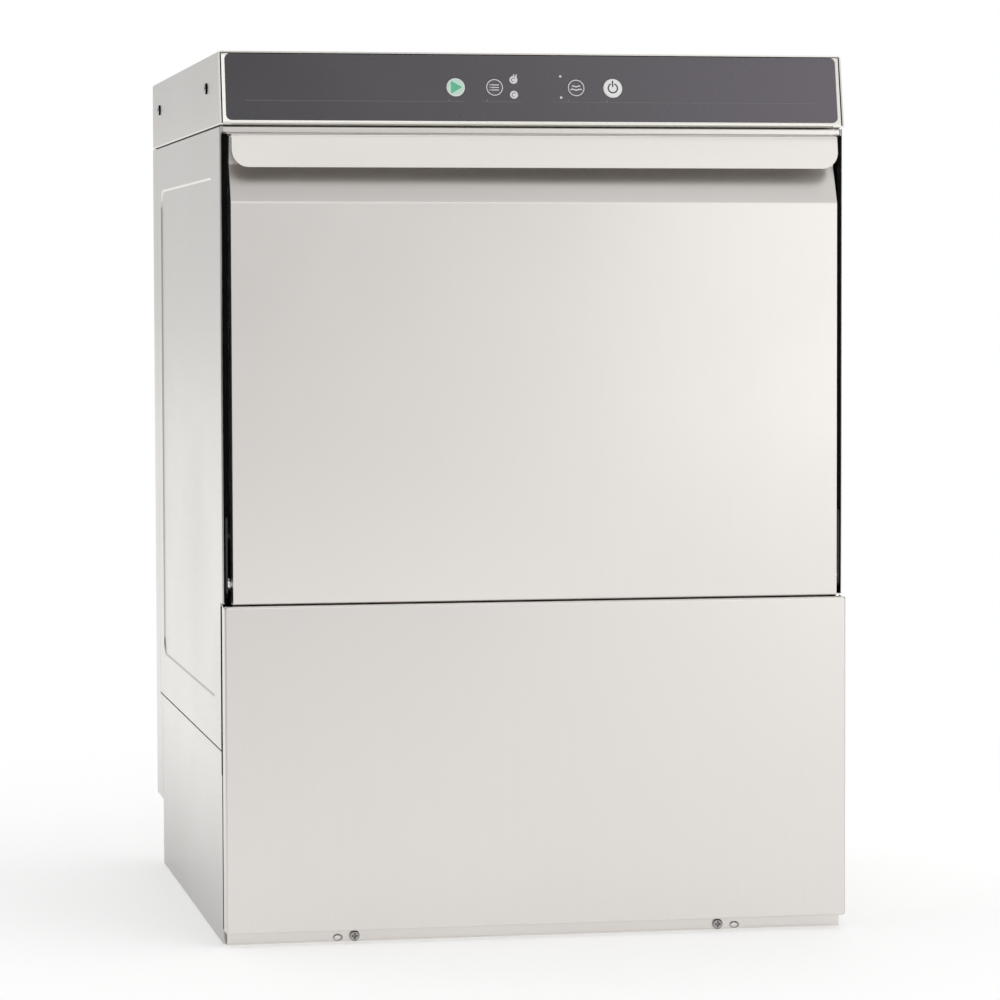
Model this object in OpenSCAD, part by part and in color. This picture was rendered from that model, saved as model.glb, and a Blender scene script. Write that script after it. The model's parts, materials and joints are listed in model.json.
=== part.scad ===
// Under-counter glass washer for commercial use: stainless cabinet, drop-down door with a folded
// handle, tilted control fascia, wash chamber with turning arms, and the pumps, boiler and
// controls in the base. Millimetres, +Z up, the door faces -Y, origin on the floor at the
// middle of the footprint.

/* [Cabinet] */
// Width over the side panels
body_w = 608; // [604:1:614]
// Height from the floor to the top of the hood
body_h = 851; // [846:1:860]
// Depth from the lower front edge of the hood to the back panel
hood_d = 645; // [640:1:655]
// Height of the hood with the controls
hood_h = 70; // [68:1:72]
// How far the top of the control fascia leans back
fascia_lean = 14.5; // [12:0.5:16]
// Height of the base sides
base_h = 184; // [182:1:190]
// How far the base stops short of the back panel
rear_recess = 66; // [60:1:70]
// Thickness of the cabinet sheets
sheet = 1.5; // [1.2:0.1:1.6]

/* [Front] */
// How far the handle stands in front of the hood
handle_proud = 15; // [14:0.5:16]
// Lower edge of the front panel
panel_z0 = 13; // [12:0.5:14]
// Upper edge of the front panel
panel_z1 = 325.5; // [322:0.5:326]
// Width of the door
door_w = 592; // [590:1:593]
// Height of the handle flap
flap_h = 30; // [26:1:32]

/* [Motion] */
// Distance from the door hinge to the draw rod stud
lever_r = 38; // [36:1:39]
// Travel of the keys
key_travel = 1; // [0.8:0.1:1.2]
// Length of the wash arms
arm_len = 480; // [460:5:490]

/* [Hidden] */
$fn = 64;
steel = [0.80, 0.79, 0.77];
dull_steel = [0.66, 0.66, 0.66];
overlay_grey = [0.31, 0.30, 0.32];
key_white = [0.93, 0.93, 0.92];
black = [0.09, 0.09, 0.09];
white_plastic = [0.86, 0.86, 0.84];
bend_steps = 5;
bend_r = 2.5;
thin = 1.2;

// Planes across the depth
screw_head = 2.4;
y_front = -(hood_d + handle_proud + screw_head) / 2;
y_hood = y_front + handle_proud;
y_cab = y_hood + 6.5;
y_panel = y_cab - 16.5;
y_back = y_hood + hood_d;
y_base = y_back - rear_recess;
y_strip = y_back - 42;
y_return = y_cab + 11.5;
side_y0 = y_return + 1;

// Widths and heights of the cabinet
half_w = body_w / 2;
in_w = half_w - sheet;
hood_z = body_h - hood_h;
side_z0 = base_h + 1;
side_z1 = hood_z - 1.5;
header_z = side_z1 - 6.5;
rear_z0 = 70;
rear_z1 = hood_z - 1;

// Control fascia: x across, y up along its face, z out of it
lean = atan(fascia_lean / hood_h);
fascia_s = hood_h / cos(lean);
key_s = 37.4;
keys = [[-77.2, 8.9], [-39.5, 8.1], [40.1, 8.1], [76.1, 9.3]];
overlay_lo = [-half_w + 6, 4.4];
overlay_hi = [half_w - 6, fascia_s - 2.6];
overlay_r = 5.5;
pocket = 0.7;

// Door
door_half = door_w / 2;
door_y = y_cab - 13;
door_z0 = panel_z1 + 1.5;
door_z1 = hood_z - 10.5;
hinge_y = door_y + 18;
hinge_z = door_z0 + 19;
liner_y = hinge_y + 20;
frame_y = liner_y + 4;
heel_y = hinge_y + 5;
hinge_plate_x = 287;
hinge_plate_t = 3;
pin_r = 5;
stud_r = 4;
field_lo = [-245, hinge_z + 32];
field_hi = [245, door_z1 - 26.5];
field_d = 6;
run_fit = 0.06;

// Draw rods and springs that balance the door
rod_x = 284;
rod_r = 4;
stud_y0 = hinge_y + lever_r * cos(45);
stud_z0 = hinge_z - lever_r * sin(45);
rod_y = hinge_y + lever_r * (1 + cos(45)) / 2;
rod_z0 = 55;
collar_z1 = rod_z0 + 7;
guide_z = 176;
spring_r = 9.5;
wire_r = 1.6;
spring_turns = 9;

// Wash chamber and tank
chamber_w = 262;
chamber_y0 = frame_y + sheet;
chamber_y1 = y_back - 65;
chamber_z1 = hood_z - 16;
tank_z0 = 245;
tank_z1 = 345;
tank_y0 = chamber_y0 + 3.5;
mouth_z0 = hinge_z + 25;
mouth_z1 = chamber_z1 - 8;
riser_r = 10;
riser_y = chamber_y1 - 11.5;
riser_top = chamber_z1 - 11;
arm_y = (chamber_y0 + riser_y - riser_r) / 2;
rail_z = 364;
tray_z = 290;
heater_x = [105, 200];
heater_z = 266;

// Arms, measured from the shoulder of the spindle
lower_arm_z = 303;
upper_arm_z = chamber_z1 - 23;
spindle_r = 16;
wash_seat_r = 12.5;
rinse_seat_r = 8;
wash_seat_h = 23;
rinse_seat_h = 14;
cap_z = wash_seat_h + rinse_seat_h;

// Base compartment
pan_z = 12;
floor_z = pan_z + 1.2;
pump_y = arm_y - 46;
pump_z = 110;
volute_r = 62;
volute_w = 22;
motor_x1 = 190;
shaft_r = 6;
sump_x = -110;
sump_r = 75;
sump_z = 196;
drain_drop = [sump_x - 30, pump_y + 38];
drain_z = 45;
tee_z = 176;
spindle_z0 = 226;
feed_z = chamber_z1 + 14;
boiler_x = -205;
boiler_z = 92;
boiler_r = 72;
boiler_y0 = arm_y + 30;
boiler_y1 = y_base - 32;
service_z = 35;
inlet_x = 200;
spigot_r = 13.2;
spigot_l = 22;
drain_x = 120;
tail_r = 11;
tail_l = 30;
gland_x = -220;
foot_x = 255;
foot_y = [y_cab + 40, y_base - 33];
foot_pad_h = 6;
doser_x = 232;
doser_z = [80, 140];
doser_y = y_cab + 26;
roller_r = 5;
doser_bore_r = 21;
ebox_lo = [-240, y_cab + 20, 48];
ebox_hi = [-60, y_cab + 145, 178];

// Screws
rear_screws = [for (x = [-half_w + 14, half_w - 14], z = [rear_z0 + 20, 420, rear_z1 - 20]) [x, z]];
hood_screw_y = [y_cab + 104.5, y_back - 81];
hood_screw_z = hood_z + 39;

// ---- Helpers ----

module box(lo, hi) translate(lo) cube(hi - lo);

module pair() {
    children();
    mirror([1, 0, 0]) children();
}

// Stretches a drawing along X, Y or Z. The drawing's axes are Y-Z, X-Z and X-Y.
module along_x(x0, x1) translate([x0, 0, 0]) rotate([90, 0, 90]) linear_extrude(x1 - x0) children();
module along_y(y0, y1) translate([0, y1, 0]) rotate([90, 0, 0]) linear_extrude(y1 - y0) children();
module along_z(z0, z1) translate([0, 0, z0]) linear_extrude(z1 - z0) children();

module rod_along_x(r, x0, x1, y, z) along_x(x0, x1) translate([y, z]) circle(r);
module rod_along_y(r, y0, y1, x, z) along_y(y0, y1) translate([x, z]) circle(r);
module rod_along_z(r, z0, z1, x, y) along_z(z0, z1) translate([x, y]) circle(r);

module rounded(lo, hi, r) {
    translate([lo[0] + r, lo[1]]) square([hi[0] - lo[0] - 2 * r, hi[1] - lo[1]]);
    translate([lo[0], lo[1] + r]) square([hi[0] - lo[0], hi[1] - lo[1] - 2 * r]);
    for (x = [lo[0] + r, hi[0] - r], y = [lo[1] + r, hi[1] - r]) translate([x, y]) circle(r);
}

function towards(a, b) = (b - a) / norm(b - a);
function left_of(d) = [-d[1], d[0]];
function wrap(a) = (a + 540) % 360 - 180;

// Points of the arc that rounds the corner b between a and c
function bend(a, b, c, r) =
    let (u = towards(b, a), v = towards(b, c), half = acos(u * v) / 2,
        mid = b + towards([0, 0], u + v) * r / sin(half),
        p = b + u * r / tan(half) - mid, q = b + v * r / tan(half) - mid,
        a0 = atan2(p[1], p[0]), sweep = wrap(atan2(q[1], q[0]) - a0))
    [for (i = [0:bend_steps]) let (t = a0 + sweep * i / bend_steps) mid + r * [cos(t), sin(t)]];

function rounded_path(path, r) = concat([path[0]],
    [for (i = [1:1:len(path) - 2]) each bend(path[i - 1], path[i], path[i + 1], r)],
    [path[len(path) - 1]]);

// The path moved to its left by t, with mitred corners
function beside(path, t) = [for (i = [0:len(path) - 1])
    let (last = len(path) - 1,
        d0 = i == 0 ? towards(path[0], path[1]) : towards(path[i - 1], path[i]),
        d1 = i == last ? d0 : towards(path[i], path[i + 1]),
        n = left_of(d0) + left_of(d1))
    path[i] + n * 2 * t / (n * n)];

function backwards(list) = [for (i = [len(list) - 1:-1:0]) list[i]];

// Sheet metal folded along a path, with its thickness to the left of the path
module folded(path, t = sheet, r = bend_r) {
    line = rounded_path(path, r);
    polygon(concat(line, backwards(beside(line, t))));
}

// A straight tube piece between two points that differ along one axis
module stick(a, b, r) {
    d = b - a;
    tilt = abs(d[2]) > 0 ? [d[2] > 0 ? 0 : 180, 0, 0]
        : abs(d[0]) > 0 ? [0, d[0] > 0 ? 90 : -90, 0] : [d[1] > 0 ? -90 : 90, 0, 0];
    translate(a) rotate(tilt) cylinder(h = norm(d), r = r);
}

module elbow(corner, u, v, bend, r) {
    w = cross(u, v);
    c = corner + (v - u) * bend;
    multmatrix([[-v[0], u[0], w[0], c[0]], [-v[1], u[1], w[1], c[1]], [-v[2], u[2], w[2], c[2]],
        [0, 0, 0, 1]])
        rotate_extrude(angle = 90) translate([bend, 0]) circle(r);
}

// A pipe along points that turn square corners, with bends of one radius
module pipe_run(points, r, bend) {
    last = len(points) - 1;
    for (i = [0:last - 1]) {
        d = towards(points[i], points[i + 1]);
        stick(points[i] + (i > 0 ? bend : 0) * d, points[i + 1] - (i < last - 1 ? bend : 0) * d, r);
    }
    for (i = [1:1:last - 1])
        elbow(points[i], towards(points[i - 1], points[i]), towards(points[i], points[i + 1]), bend, r);
}

module hose(points, r, wall, bend) difference() {
    pipe_run(points, r, bend);
    pipe_run(points, r - wall, bend);
}

module on_fascia() translate([0, y_hood, hood_z]) rotate([90 - lean, 0, 0]) children();

// ---- Cabinet ----

module base_frame() color(steel) difference() {
    union() {
        pair() {
            box([in_w, side_y0, 0], [half_w, y_base, base_h]);
            box([half_w - 20, side_y0, 0], [half_w, y_base, sheet]);
            box([half_w - 12, side_y0 + 20, base_h - sheet], [half_w, y_base, base_h]);
            box([half_w - 14, side_y0, 0], [half_w, side_y0 + sheet, base_h - 22]);
            for (y = foot_y) box([foot_x - 20, y - 20, pan_z - 4], [in_w, y + 20, floor_z]);
        }
        box([-half_w, y_base - sheet, 0], [half_w, y_base, base_h]);
        box([-in_w, y_cab + 1, pan_z], [in_w, y_base - sheet, floor_z]);
        along_x(-half_w + 2.5, half_w - 2.5)
            folded([[y_cab + 18, 0], [y_cab, 0], [y_cab, 38], [y_cab + 14, 38]], -sheet);
        for (x = [-195, 195]) rod_along_y(2.8, y_cab - 1, y_cab + 0.5, x, 5.5);
    }
    pair() box([in_w - 1, side_y0 - 1, base_h - 22], [half_w + 1, side_y0 + 4, base_h + 1]);
    for (x = [-foot_x, foot_x], y = foot_y) rod_along_z(5.05, pan_z - 5, floor_z + 1, x, y);
    for (x = [-179, 179]) rod_along_y(2.6, y_cab - 1, y_cab + 3, x, 6);
    for (i = [0:5]) box([60 + i * 24, 60, pan_z - 1], [68 + i * 24, 130, floor_z + 1]);
    rod_along_y(13.6, y_base - 3, y_base + 1, inlet_x, service_z);
    rod_along_y(11.4, y_base - 3, y_base + 1, drain_x, service_z);
    rod_along_y(10.2, y_base - 3, y_base + 1, gland_x, service_z);
}

recess_lo = [y_cab + 60, base_h + 47];
recess_hi = [y_strip - 39.5, side_z1 - 46.5];
recess_r = 20;
recess_d = 2;

// The right-hand side panel; the left-hand one is its mirror image
module side_panel() color(steel) {
    difference() {
        union() {
            box([in_w, side_y0, side_z0], [half_w, y_strip - 0.5, side_z1]);
            box([in_w, y_cab, door_z0], [half_w, side_y0, side_z1]);
            box([in_w - 1, y_cab, door_z0], [in_w, y_cab + 10, side_z1]);
            box([half_w - 8, y_cab + 12, side_z1 - sheet], [half_w, y_strip - 0.5, side_z1]);
            box([half_w - 8, y_cab + 25, side_z0], [half_w, y_strip - 0.5, side_z0 + sheet]);
            along_x(in_w - recess_d, half_w) rounded(recess_lo - [sheet, sheet],
                recess_hi + [sheet, sheet], recess_r + sheet);
        }
        along_x(half_w - recess_d, half_w + 1) rounded(recess_lo, recess_hi, recess_r);
    }
}

module side_panel_right() side_panel();
module side_panel_left() mirror([1, 0, 0]) side_panel();

module rear_panel() color(steel) difference() {
    union() {
        box([-half_w, y_back - sheet, rear_z0], [half_w, y_back, rear_z1]);
        box([-half_w, y_base + 1, rear_z0], [half_w, y_back, rear_z0 + sheet]);
        pair() {
            box([in_w, y_strip + 0.5, rear_z0], [half_w, y_back, rear_z1]);
            box([in_w, y_base + 1, rear_z0], [half_w, y_back, base_h]);
        }
    }
    for (side = [-1, 1], i = [0:8]) along_y(y_back - 3, y_back + 1) {
        translate([side * 130 - 55, 130 + i * 16]) square([110, 6]);
        for (end = [-55, 55]) translate([side * 130 + end, 133 + i * 16]) circle(3);
    }
    for (p = rear_screws) rod_along_y(2.6, y_back - 3, y_back + 1, p[0], p[1]);
}

module top_cover() color(steel) difference() {
    union() {
        along_y(y_hood, y_back)
            folded([[half_w, hood_z], [half_w, body_h], [-half_w, body_h], [-half_w, hood_z]]);
        box([-in_w, y_back - sheet, hood_z], [in_w, y_back, body_h - sheet]);
        pair() box([half_w - 10, y_hood + 20, hood_z], [in_w, y_back - sheet, hood_z + sheet]);
    }
    on_fascia() box([-half_w - 1, -1, 0], [half_w + 1, fascia_s + 10, 40]);
    pair() for (y = hood_screw_y) rod_along_x(2.6, in_w - 1, half_w + 1, y, hood_screw_z);
}

module control_fascia() color(steel) on_fascia() difference() {
    along_x(-half_w + 2.7, half_w - 2.7)
        folded([[0.8, -9.5], [0.8, 0], [fascia_s - 1.9, 0], [fascia_s - 1.9, -11]], -sheet, 1.8);
    along_z(-pocket, 1) rounded(overlay_lo - [0.2, 0.2], overlay_hi + [0.2, 0.2], overlay_r);
    for (k = keys) rod_along_z(k[1] + 0.5, -4, 1, k[0], key_s);
}

module fascia_overlay() color(overlay_grey) on_fascia() difference() {
    along_z(-pocket, 0.15) rounded(overlay_lo, overlay_hi, overlay_r);
    for (k = keys) rod_along_z(k[1] + 0.35, -2, 2, k[0], key_s);
}

module key(i) {
    k = keys[i];
    on_fascia() {
        rod_along_z(k[1], -2.6, 1.25, k[0], key_s);
        rod_along_z(3, -9, -2.6, k[0], key_s);
    }
}

module key_start() color(key_white) key(0);
module key_program() color(overlay_grey) key(1);
module key_drain() color(overlay_grey) key(2);
module key_power() color(key_white) key(3);

module display_board() color([0.10, 0.30, 0.20]) on_fascia() {
    along_z(-14, -12.4) rounded([-108, 15], [108, 60], 3);
    for (k = keys) box([k[0] - 5, key_s - 5, -12.5], [k[0] + 5, key_s + 5, -9.1 - key_travel]);
    box([-25, 18, -19], [25, 28, -14]);
}

module front_header() color(steel) along_x(-half_w + 2.8, half_w - 2.8) folded(
    [[y_cab + 8, side_z1], [y_cab, side_z1], [y_cab, header_z], [frame_y, header_z],
        [frame_y, side_z1 - sheet - 0.3]], sheet, 1.6);

module front_frame() color(dull_steel) difference() {
    box([-half_w + 4, frame_y, door_z0 + 3],
        [half_w - 4, frame_y + sheet, side_z1 - sheet - 0.3]);
    along_y(frame_y - 1, frame_y + 3)
        rounded([-chamber_w, mouth_z0], [chamber_w, mouth_z1], 14);
    pair() box([276.5, frame_y - 1, door_z0], [298, frame_y + 3, hinge_z + 42]);
}

module case_screws() color(dull_steel) {
    for (x = [-179, 179]) screw_in_y(x, 6, y_cab, -1);
    for (p = rear_screws) screw_in_y(p[0], p[1], y_back, 1);
    pair() for (y = hood_screw_y)
        translate([half_w, y, hood_screw_z]) rotate([0, 90, 0]) cross_screw(5, 2.5);
}

// A cross-recess screw whose head stands out of the plane y, towards -Y or +Y
module screw_in_y(x, z, y, side) translate([x, y, z]) rotate([-90 * side, 0, 0]) cross_screw(5, 2.4);

module cross_screw(head_r, shank_r) difference() {
    union() {
        cylinder(h = screw_head - 0.8, r = head_r);
        translate([0, 0, screw_head - 0.8]) cylinder(h = 0.8, r1 = head_r, r2 = head_r - 1.2);
        translate([0, 0, -6]) cylinder(h = 6, r = shank_r);
    }
    for (a = [0, 90]) rotate(a) box([-0.16 * head_r, -0.56 * head_r, 1.2],
        [0.16 * head_r, 0.56 * head_r, screw_head + 1]);
}

// ---- Lower front panel ----

module front_panel() color(steel) {
    side = half_w - 6;
    along_x(-side, side) folded([[y_panel + 12, panel_z0], [y_panel, panel_z0],
        [y_panel, panel_z1], [y_panel + 7, panel_z1]], -sheet);
    pair() along_z(panel_z0, panel_z1)
        folded([[side, y_panel], [half_w, y_panel], [half_w, y_return]], sheet);
}

// ---- Door ----

slope_z0 = door_z1 - 63;
slope_z1 = door_z1 - 27;
cove_y = door_y + 15.5;
flap_y0 = y_panel;
flap_y1 = y_front;
flap_r = 16;

module door_skin() color(steel) difference() {
    union() {
        along_x(-door_half, door_half) folded([[heel_y, door_z0], [door_y, door_z0],
            [door_y, slope_z0], [cove_y, slope_z1], [cove_y, door_z1], [flap_y0 + thin, door_z1],
            [flap_y1 + thin, door_z1 - flap_h]], -thin);
        pair() along_x(door_half - thin, door_half) polygon([[door_y + 1, door_z0 + 1],
            [door_y + 1, slope_z0], [cove_y + 1, slope_z1], [cove_y + 1, door_z1 + 0.6],
            [liner_y - 2, door_z1 + 0.6], [liner_y - 2, hinge_z + 1], [heel_y - 1, door_z0 + 1]]);
        box([-door_half, cove_y - 5, door_z1], [door_half, liner_y - 1.6, door_z1 + thin]);
    }
    pair() rod_along_x(8, door_half - 3, door_half + 1, hinge_y, hinge_z);
    pair() box([hinge_plate_x - 2.5, hinge_y - 6, door_z0 - 1],
        [hinge_plate_x + hinge_plate_t + 2.5, liner_y, door_z0 + 3]);
    pair() flap_corner();
}

// What is cut away to round a lower corner of the handle flap
module flap_corner() along_y(y_front - 1, flap_y0 + 3) difference() {
    translate([door_half - flap_r, door_z1 - flap_h - 1]) square([flap_r + 1, flap_r + 1]);
    translate([door_half - flap_r, door_z1 - flap_h + flap_r]) circle(flap_r);
}

module door_liner() color(dull_steel) difference() {
    union() {
        along_x(-door_half + 3, door_half - 3) folded([[heel_y, door_z0 + 1.6],
            [liner_y, hinge_z], [liner_y, door_z1 - 0.5]], thin);
        along_y(liner_y - thin, liner_y + field_d) rounded(field_lo, field_hi, 12);
    }
    along_y(liner_y - thin - 1, liner_y + field_d - thin)
        rounded(field_lo + [thin, thin], field_hi - [thin, thin], 12 - thin);
    pair() box([hinge_plate_x - 2.5, hinge_y - 10, door_z0],
        [hinge_plate_x + hinge_plate_t + 2.5, liner_y + 1, hinge_z + 6]);
}

// Two hat-section ribs between the skins
module door_ribs() color(dull_steel) pair() along_z(hinge_z + 12, slope_z0 - 8) {
    back = liner_y - thin;
    front = door_y + 2 * thin;
    folded([[95, back], [110, back], [120, front], [150, front], [160, back], [175, back]],
        -thin, 2);
}

module door_hinges() color(dull_steel) pair() {
    difference() {
        along_x(hinge_plate_x, hinge_plate_x + hinge_plate_t) {
            translate([hinge_y, hinge_z]) circle(9);
            translate([door_y + thin + 0.3, hinge_z])
                square([liner_y - door_y - 2 * thin - 0.6, 110]);
            translate([hinge_y, hinge_z]) rotate(-45) translate([0, -7]) square([lever_r, 14]);
            translate([stud_y0, stud_z0]) circle(8);
        }
        rod_along_x(pin_r + run_fit, hinge_plate_x - 1, hinge_plate_x + 4, hinge_y, hinge_z);
    }
    rod_along_x(stud_r, rod_x - 4.6, hinge_plate_x + 1, stud_y0, stud_z0);
    rod_along_x(stud_r + 2.2, rod_x - 5.6, rod_x - 3.8, stud_y0, stud_z0);
}

module hinge_brackets() color(black) pair() difference() {
    union() {
        along_x(half_w - 5, half_w - 2.7)
            rounded([hinge_y - 7, hinge_z - 11], [frame_y, hinge_z + 66], 5);
        box([292, frame_y - 2, hinge_z + 46], [half_w - 2.7, frame_y, hinge_z + 66]);
    }
    rod_along_x(pin_r, half_w - 6, half_w, hinge_y, hinge_z);
}

module hinge_pins() color(dull_steel) pair() {
    rod_along_x(pin_r, hinge_plate_x - 1.5, half_w - 2.7, hinge_y, hinge_z);
    rod_along_x(pin_r + 2, door_half + 0.4, half_w - 5, hinge_y, hinge_z);
}

// The slot lets the stud swing across the straight path of the rod
module draw_rods() color(dull_steel) pair() {
    reach = lever_r * (1 - cos(45)) / 2 + stud_r + 0.8;
    difference() {
        along_x(rod_x - 1.8, rod_x + 1.8) translate([rod_y, stud_z0])
            rounded([-reach - 3.5, -10.5], [reach + 3.5, 10.5], 5);
        along_x(rod_x - 3, rod_x + 3) translate([rod_y, stud_z0])
            rounded([-reach, -stud_r - 1.8], [reach, stud_r + 1.8], stud_r + 1.7);
    }
    rod_along_z(rod_r, rod_z0, stud_z0 - 9.8, rod_x, rod_y);
    rod_along_z(spring_r + 1.5, rod_z0 + 2, collar_z1, rod_x, rod_y);
    rod_along_z(spring_r - 3.5, collar_z1 - 1, collar_z1 + 7, rod_x, rod_y);
}

module rod_guides() color(dull_steel) pair() difference() {
    union() {
        box([rod_x - 14, rod_y - 16, guide_z], [in_w, rod_y + 16, guide_z + 3]);
        box([in_w - 3, rod_y - 16, guide_z - 45], [in_w, rod_y + 16, guide_z + 3]);
    }
    rod_along_z(rod_r + 0.2, guide_z - 1, guide_z + 4, rod_x, rod_y);
}

// A coil as one closed skin: rings of ring_n points along the helix
ring_n = 6;
coil_steps = 14;

function ring(i, z0, z1) =
    let (f = i / (spring_turns * coil_steps), a = 360 * i / coil_steps)
    [for (k = [0:ring_n - 1]) let (b = 360 * k / ring_n, r = spring_r + wire_r * cos(b))
        [r * cos(a), r * sin(a), z0 + wire_r + f * (z1 - z0 - 2 * wire_r) + wire_r * sin(b)]];

module coil(z0, z1) {
    last = spring_turns * coil_steps;
    polyhedron(points = [for (i = [0:last]) each ring(i, z0, z1)],
        faces = concat([[for (k = [0:ring_n - 1]) k]],
            [for (i = [0:last - 1], k = [0:ring_n - 1]) let (m = (k + 1) % ring_n)
                [i * ring_n + k, (i + 1) * ring_n + k, (i + 1) * ring_n + m, i * ring_n + m]],
            [[for (k = [ring_n - 1:-1:0]) last * ring_n + k]]));
}

module door_springs() color(black) pair() translate([rod_x, rod_y, 0]) coil(collar_z1 + 0.3, guide_z - 0.3);

module door_sensor() color(black) difference() {
    box([238, frame_y - 16, header_z + sheet], [262, frame_y - 3, header_z + sheet + 3]);
    rod_along_z(1.6, header_z, header_z + 6, 250, frame_y - 9);
}

// ---- Wash chamber ----

module wash_chamber() color(dull_steel) difference() {
    box([-chamber_w - thin, chamber_y0, tank_z1],
        [chamber_w + thin, chamber_y1 + thin, chamber_z1 + thin]);
    box([-chamber_w, chamber_y0 - 1, tank_z1 - 1], [chamber_w, chamber_y1, chamber_z1]);
    rod_along_z(6.3, chamber_z1 - 1, chamber_z1 + 3, 0, arm_y);
}

module tank() color(dull_steel) difference() {
    union() {
        box([-chamber_w - thin, tank_y0 - thin, tank_z0], [chamber_w + thin, chamber_y1 + thin, tank_z1]);
        box([-chamber_w - thin, chamber_y0, tank_z1 - thin], [chamber_w + thin, tank_y0, tank_z1]);
        rod_along_z(sump_r, sump_z, tank_z0 + 1, sump_x, pump_y);
    }
    box([-chamber_w, tank_y0, tank_z0 + thin], [chamber_w, chamber_y1, tank_z1 + 1]);
    rod_along_z(sump_r - thin, sump_z + thin, tank_z0 + 5, sump_x, pump_y);
    rod_along_z(17, sump_z - 1, sump_z + 3, sump_x, pump_y);
    rod_along_z(9.5, sump_z - 1, sump_z + 3, drain_drop[0], drain_drop[1]);
    rod_along_z(spindle_r + 0.3, tank_z0 - 1, tank_z0 + 3, 0, arm_y);
    rod_along_z(riser_r + 0.3, tank_z0 - 1, tank_z0 + 3, 0, riser_y);
    for (x = heater_x) rod_along_y(4.8, chamber_y1 - 1, chamber_y1 + 3, x, heater_z);
}

module tank_heater() color([0.45, 0.43, 0.41]) {
    pipe_run([[heater_x[0], chamber_y1 + 12, heater_z], [heater_x[0], arm_y - 180, heater_z],
        [heater_x[1], arm_y - 180, heater_z], [heater_x[1], chamber_y1 + 12, heater_z]], 4.3, 30);
    along_y(chamber_y1 + thin, chamber_y1 + thin + 3)
        rounded([heater_x[0] - 14, heater_z - 14], [heater_x[1] + 14, heater_z + 14], 8);
}

// A rubber channel round the mouth, a flat foot and a raised lip, and strips that close the gap
// beside the door
module door_seal() color(black) {
    seal_ring(frame_y - 1.4, frame_y, 2, 13);
    seal_ring(frame_y - 3.8, frame_y, 5, 10);
    pair() {
        box([door_half + 1.5, frame_y - 16, hinge_z + 68], [in_w - 0.2, frame_y, header_z - 1]);
        box([door_half + 1.3, frame_y - 16, door_z0 + 4],
            [half_w - 5.2, frame_y - 2.3, hinge_z + 68.5]);
    }
}

module seal_ring(y0, y1, from, to) along_y(y0, y1) difference() {
    rounded([-chamber_w - to, mouth_z0 - to], [chamber_w + to, mouth_z1 + to], 14 + to);
    rounded([-chamber_w - from, mouth_z0 - from], [chamber_w + from, mouth_z1 + from], 14 + from);
}

module rack_rails() color(steel) pair() {
    along_y(chamber_y0 + 4, chamber_y1 - 2)
        folded([[chamber_w - 0.2, rail_z + 26], [chamber_w - 0.2, rail_z], [chamber_w - 30, rail_z],
            [chamber_w - 30, rail_z - 6]], -sheet, 2);
}

module strainer_tray() color(steel) difference() {
    union() {
        box([-chamber_w + 6, tank_y0 + 6, tray_z], [chamber_w - 6, riser_y - riser_r - 4, tray_z + thin]);
        difference() {
            box([-chamber_w + 6, tank_y0 + 6, tray_z - 10],
                [chamber_w - 6, riser_y - riser_r - 4, tray_z + thin]);
            box([-chamber_w + 6 + thin, tank_y0 + 6 + thin, tray_z - 11],
                [chamber_w - 6 - thin, riser_y - riser_r - 4 - thin, tray_z]);
        }
    }
    rod_along_z(62, tray_z - 1, tray_z + 2, sump_x, pump_y);
    rod_along_z(20, tray_z - 1, tray_z + 2, 0, arm_y);
    for (i = [0:17], y = [tank_y0 + 22, riser_y - 150]) {
        x = -238 + i * 28;
        box([x - 2, y, tray_z - 1], [x + 2, y + 110, tray_z + 2]);
    }
}

module filter_basket() color(dull_steel) {
    difference() {
        union() {
            rod_along_z(60, sump_z + 14, tray_z + thin, sump_x, pump_y);
            rod_along_z(66, tray_z + thin, tray_z + thin + 1.5, sump_x, pump_y);
        }
        rod_along_z(58.8, sump_z + 15.2, tray_z + 9, sump_x, pump_y);
        for (a = [0:22.5:170]) translate([sump_x, pump_y, 0]) rotate(a)
            box([-70, -2, sump_z + 24], [70, 2, tray_z - 14]);
    }
    translate([sump_x, pump_y, 0]) {
        box([-59.5, -5, tray_z - 2.5], [59.5, 5, tray_z]);
        along_y(-4, 4) translate([0, tray_z - 1]) difference() {
            circle(16);
            circle(13);
            translate([-20, -20]) square([40, 20]);
        }
    }
}

// ---- Arms ----

// Seats above the shoulder of a spindle: wash arm, rinse arm and the stub for the cap
module spindle_seats() {
    cylinder(h = wash_seat_h, r = wash_seat_r);
    translate([0, 0, wash_seat_h]) cylinder(h = rinse_seat_h, r = rinse_seat_r);
    translate([0, 0, cap_z]) cylinder(h = 7, r = 5);
}

// Cross holes through which the water leaves the spindle into the arms
module spindle_ports() {
    rod_along_x(3.5, -20, 20, 0, 11);
    rod_along_y(3.5, -20, 20, 0, 11);
    rod_along_x(2.4, -20, 20, 0, wash_seat_h + 7);
}

module arm_spindles() color(steel) {
    stem = lower_arm_z - spindle_z0;
    translate([0, arm_y, lower_arm_z]) difference() {
        union() {
            translate([0, 0, -stem]) cylinder(h = stem, r = spindle_r);
            spindle_seats();
        }
        translate([0, 0, -stem - 1]) cylinder(h = stem + wash_seat_h - 2, r = wash_seat_r - 2);
        translate([0, 0, 4]) cylinder(h = cap_z - 6, r = 4);
        spindle_ports();
    }
    drop = chamber_z1 - upper_arm_z;
    translate([0, arm_y, upper_arm_z]) mirror([0, 0, 1]) difference() {
        union() {
            translate([0, 0, -drop]) cylinder(h = drop, r = spindle_r);
            spindle_seats();
        }
        translate([0, 0, -drop + 5]) cylinder(h = drop + wash_seat_h - 8, r = wash_seat_r - 2);
        translate([0, 0, -drop - 1]) cylinder(h = 7, r = 5);
        translate([0, 0, 4]) cylinder(h = cap_z - 6, r = 4);
        rod_along_y(riser_r, 6, spindle_r + 1, 0, upper_arm_z - riser_top);
        spindle_ports();
    }
}

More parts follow.
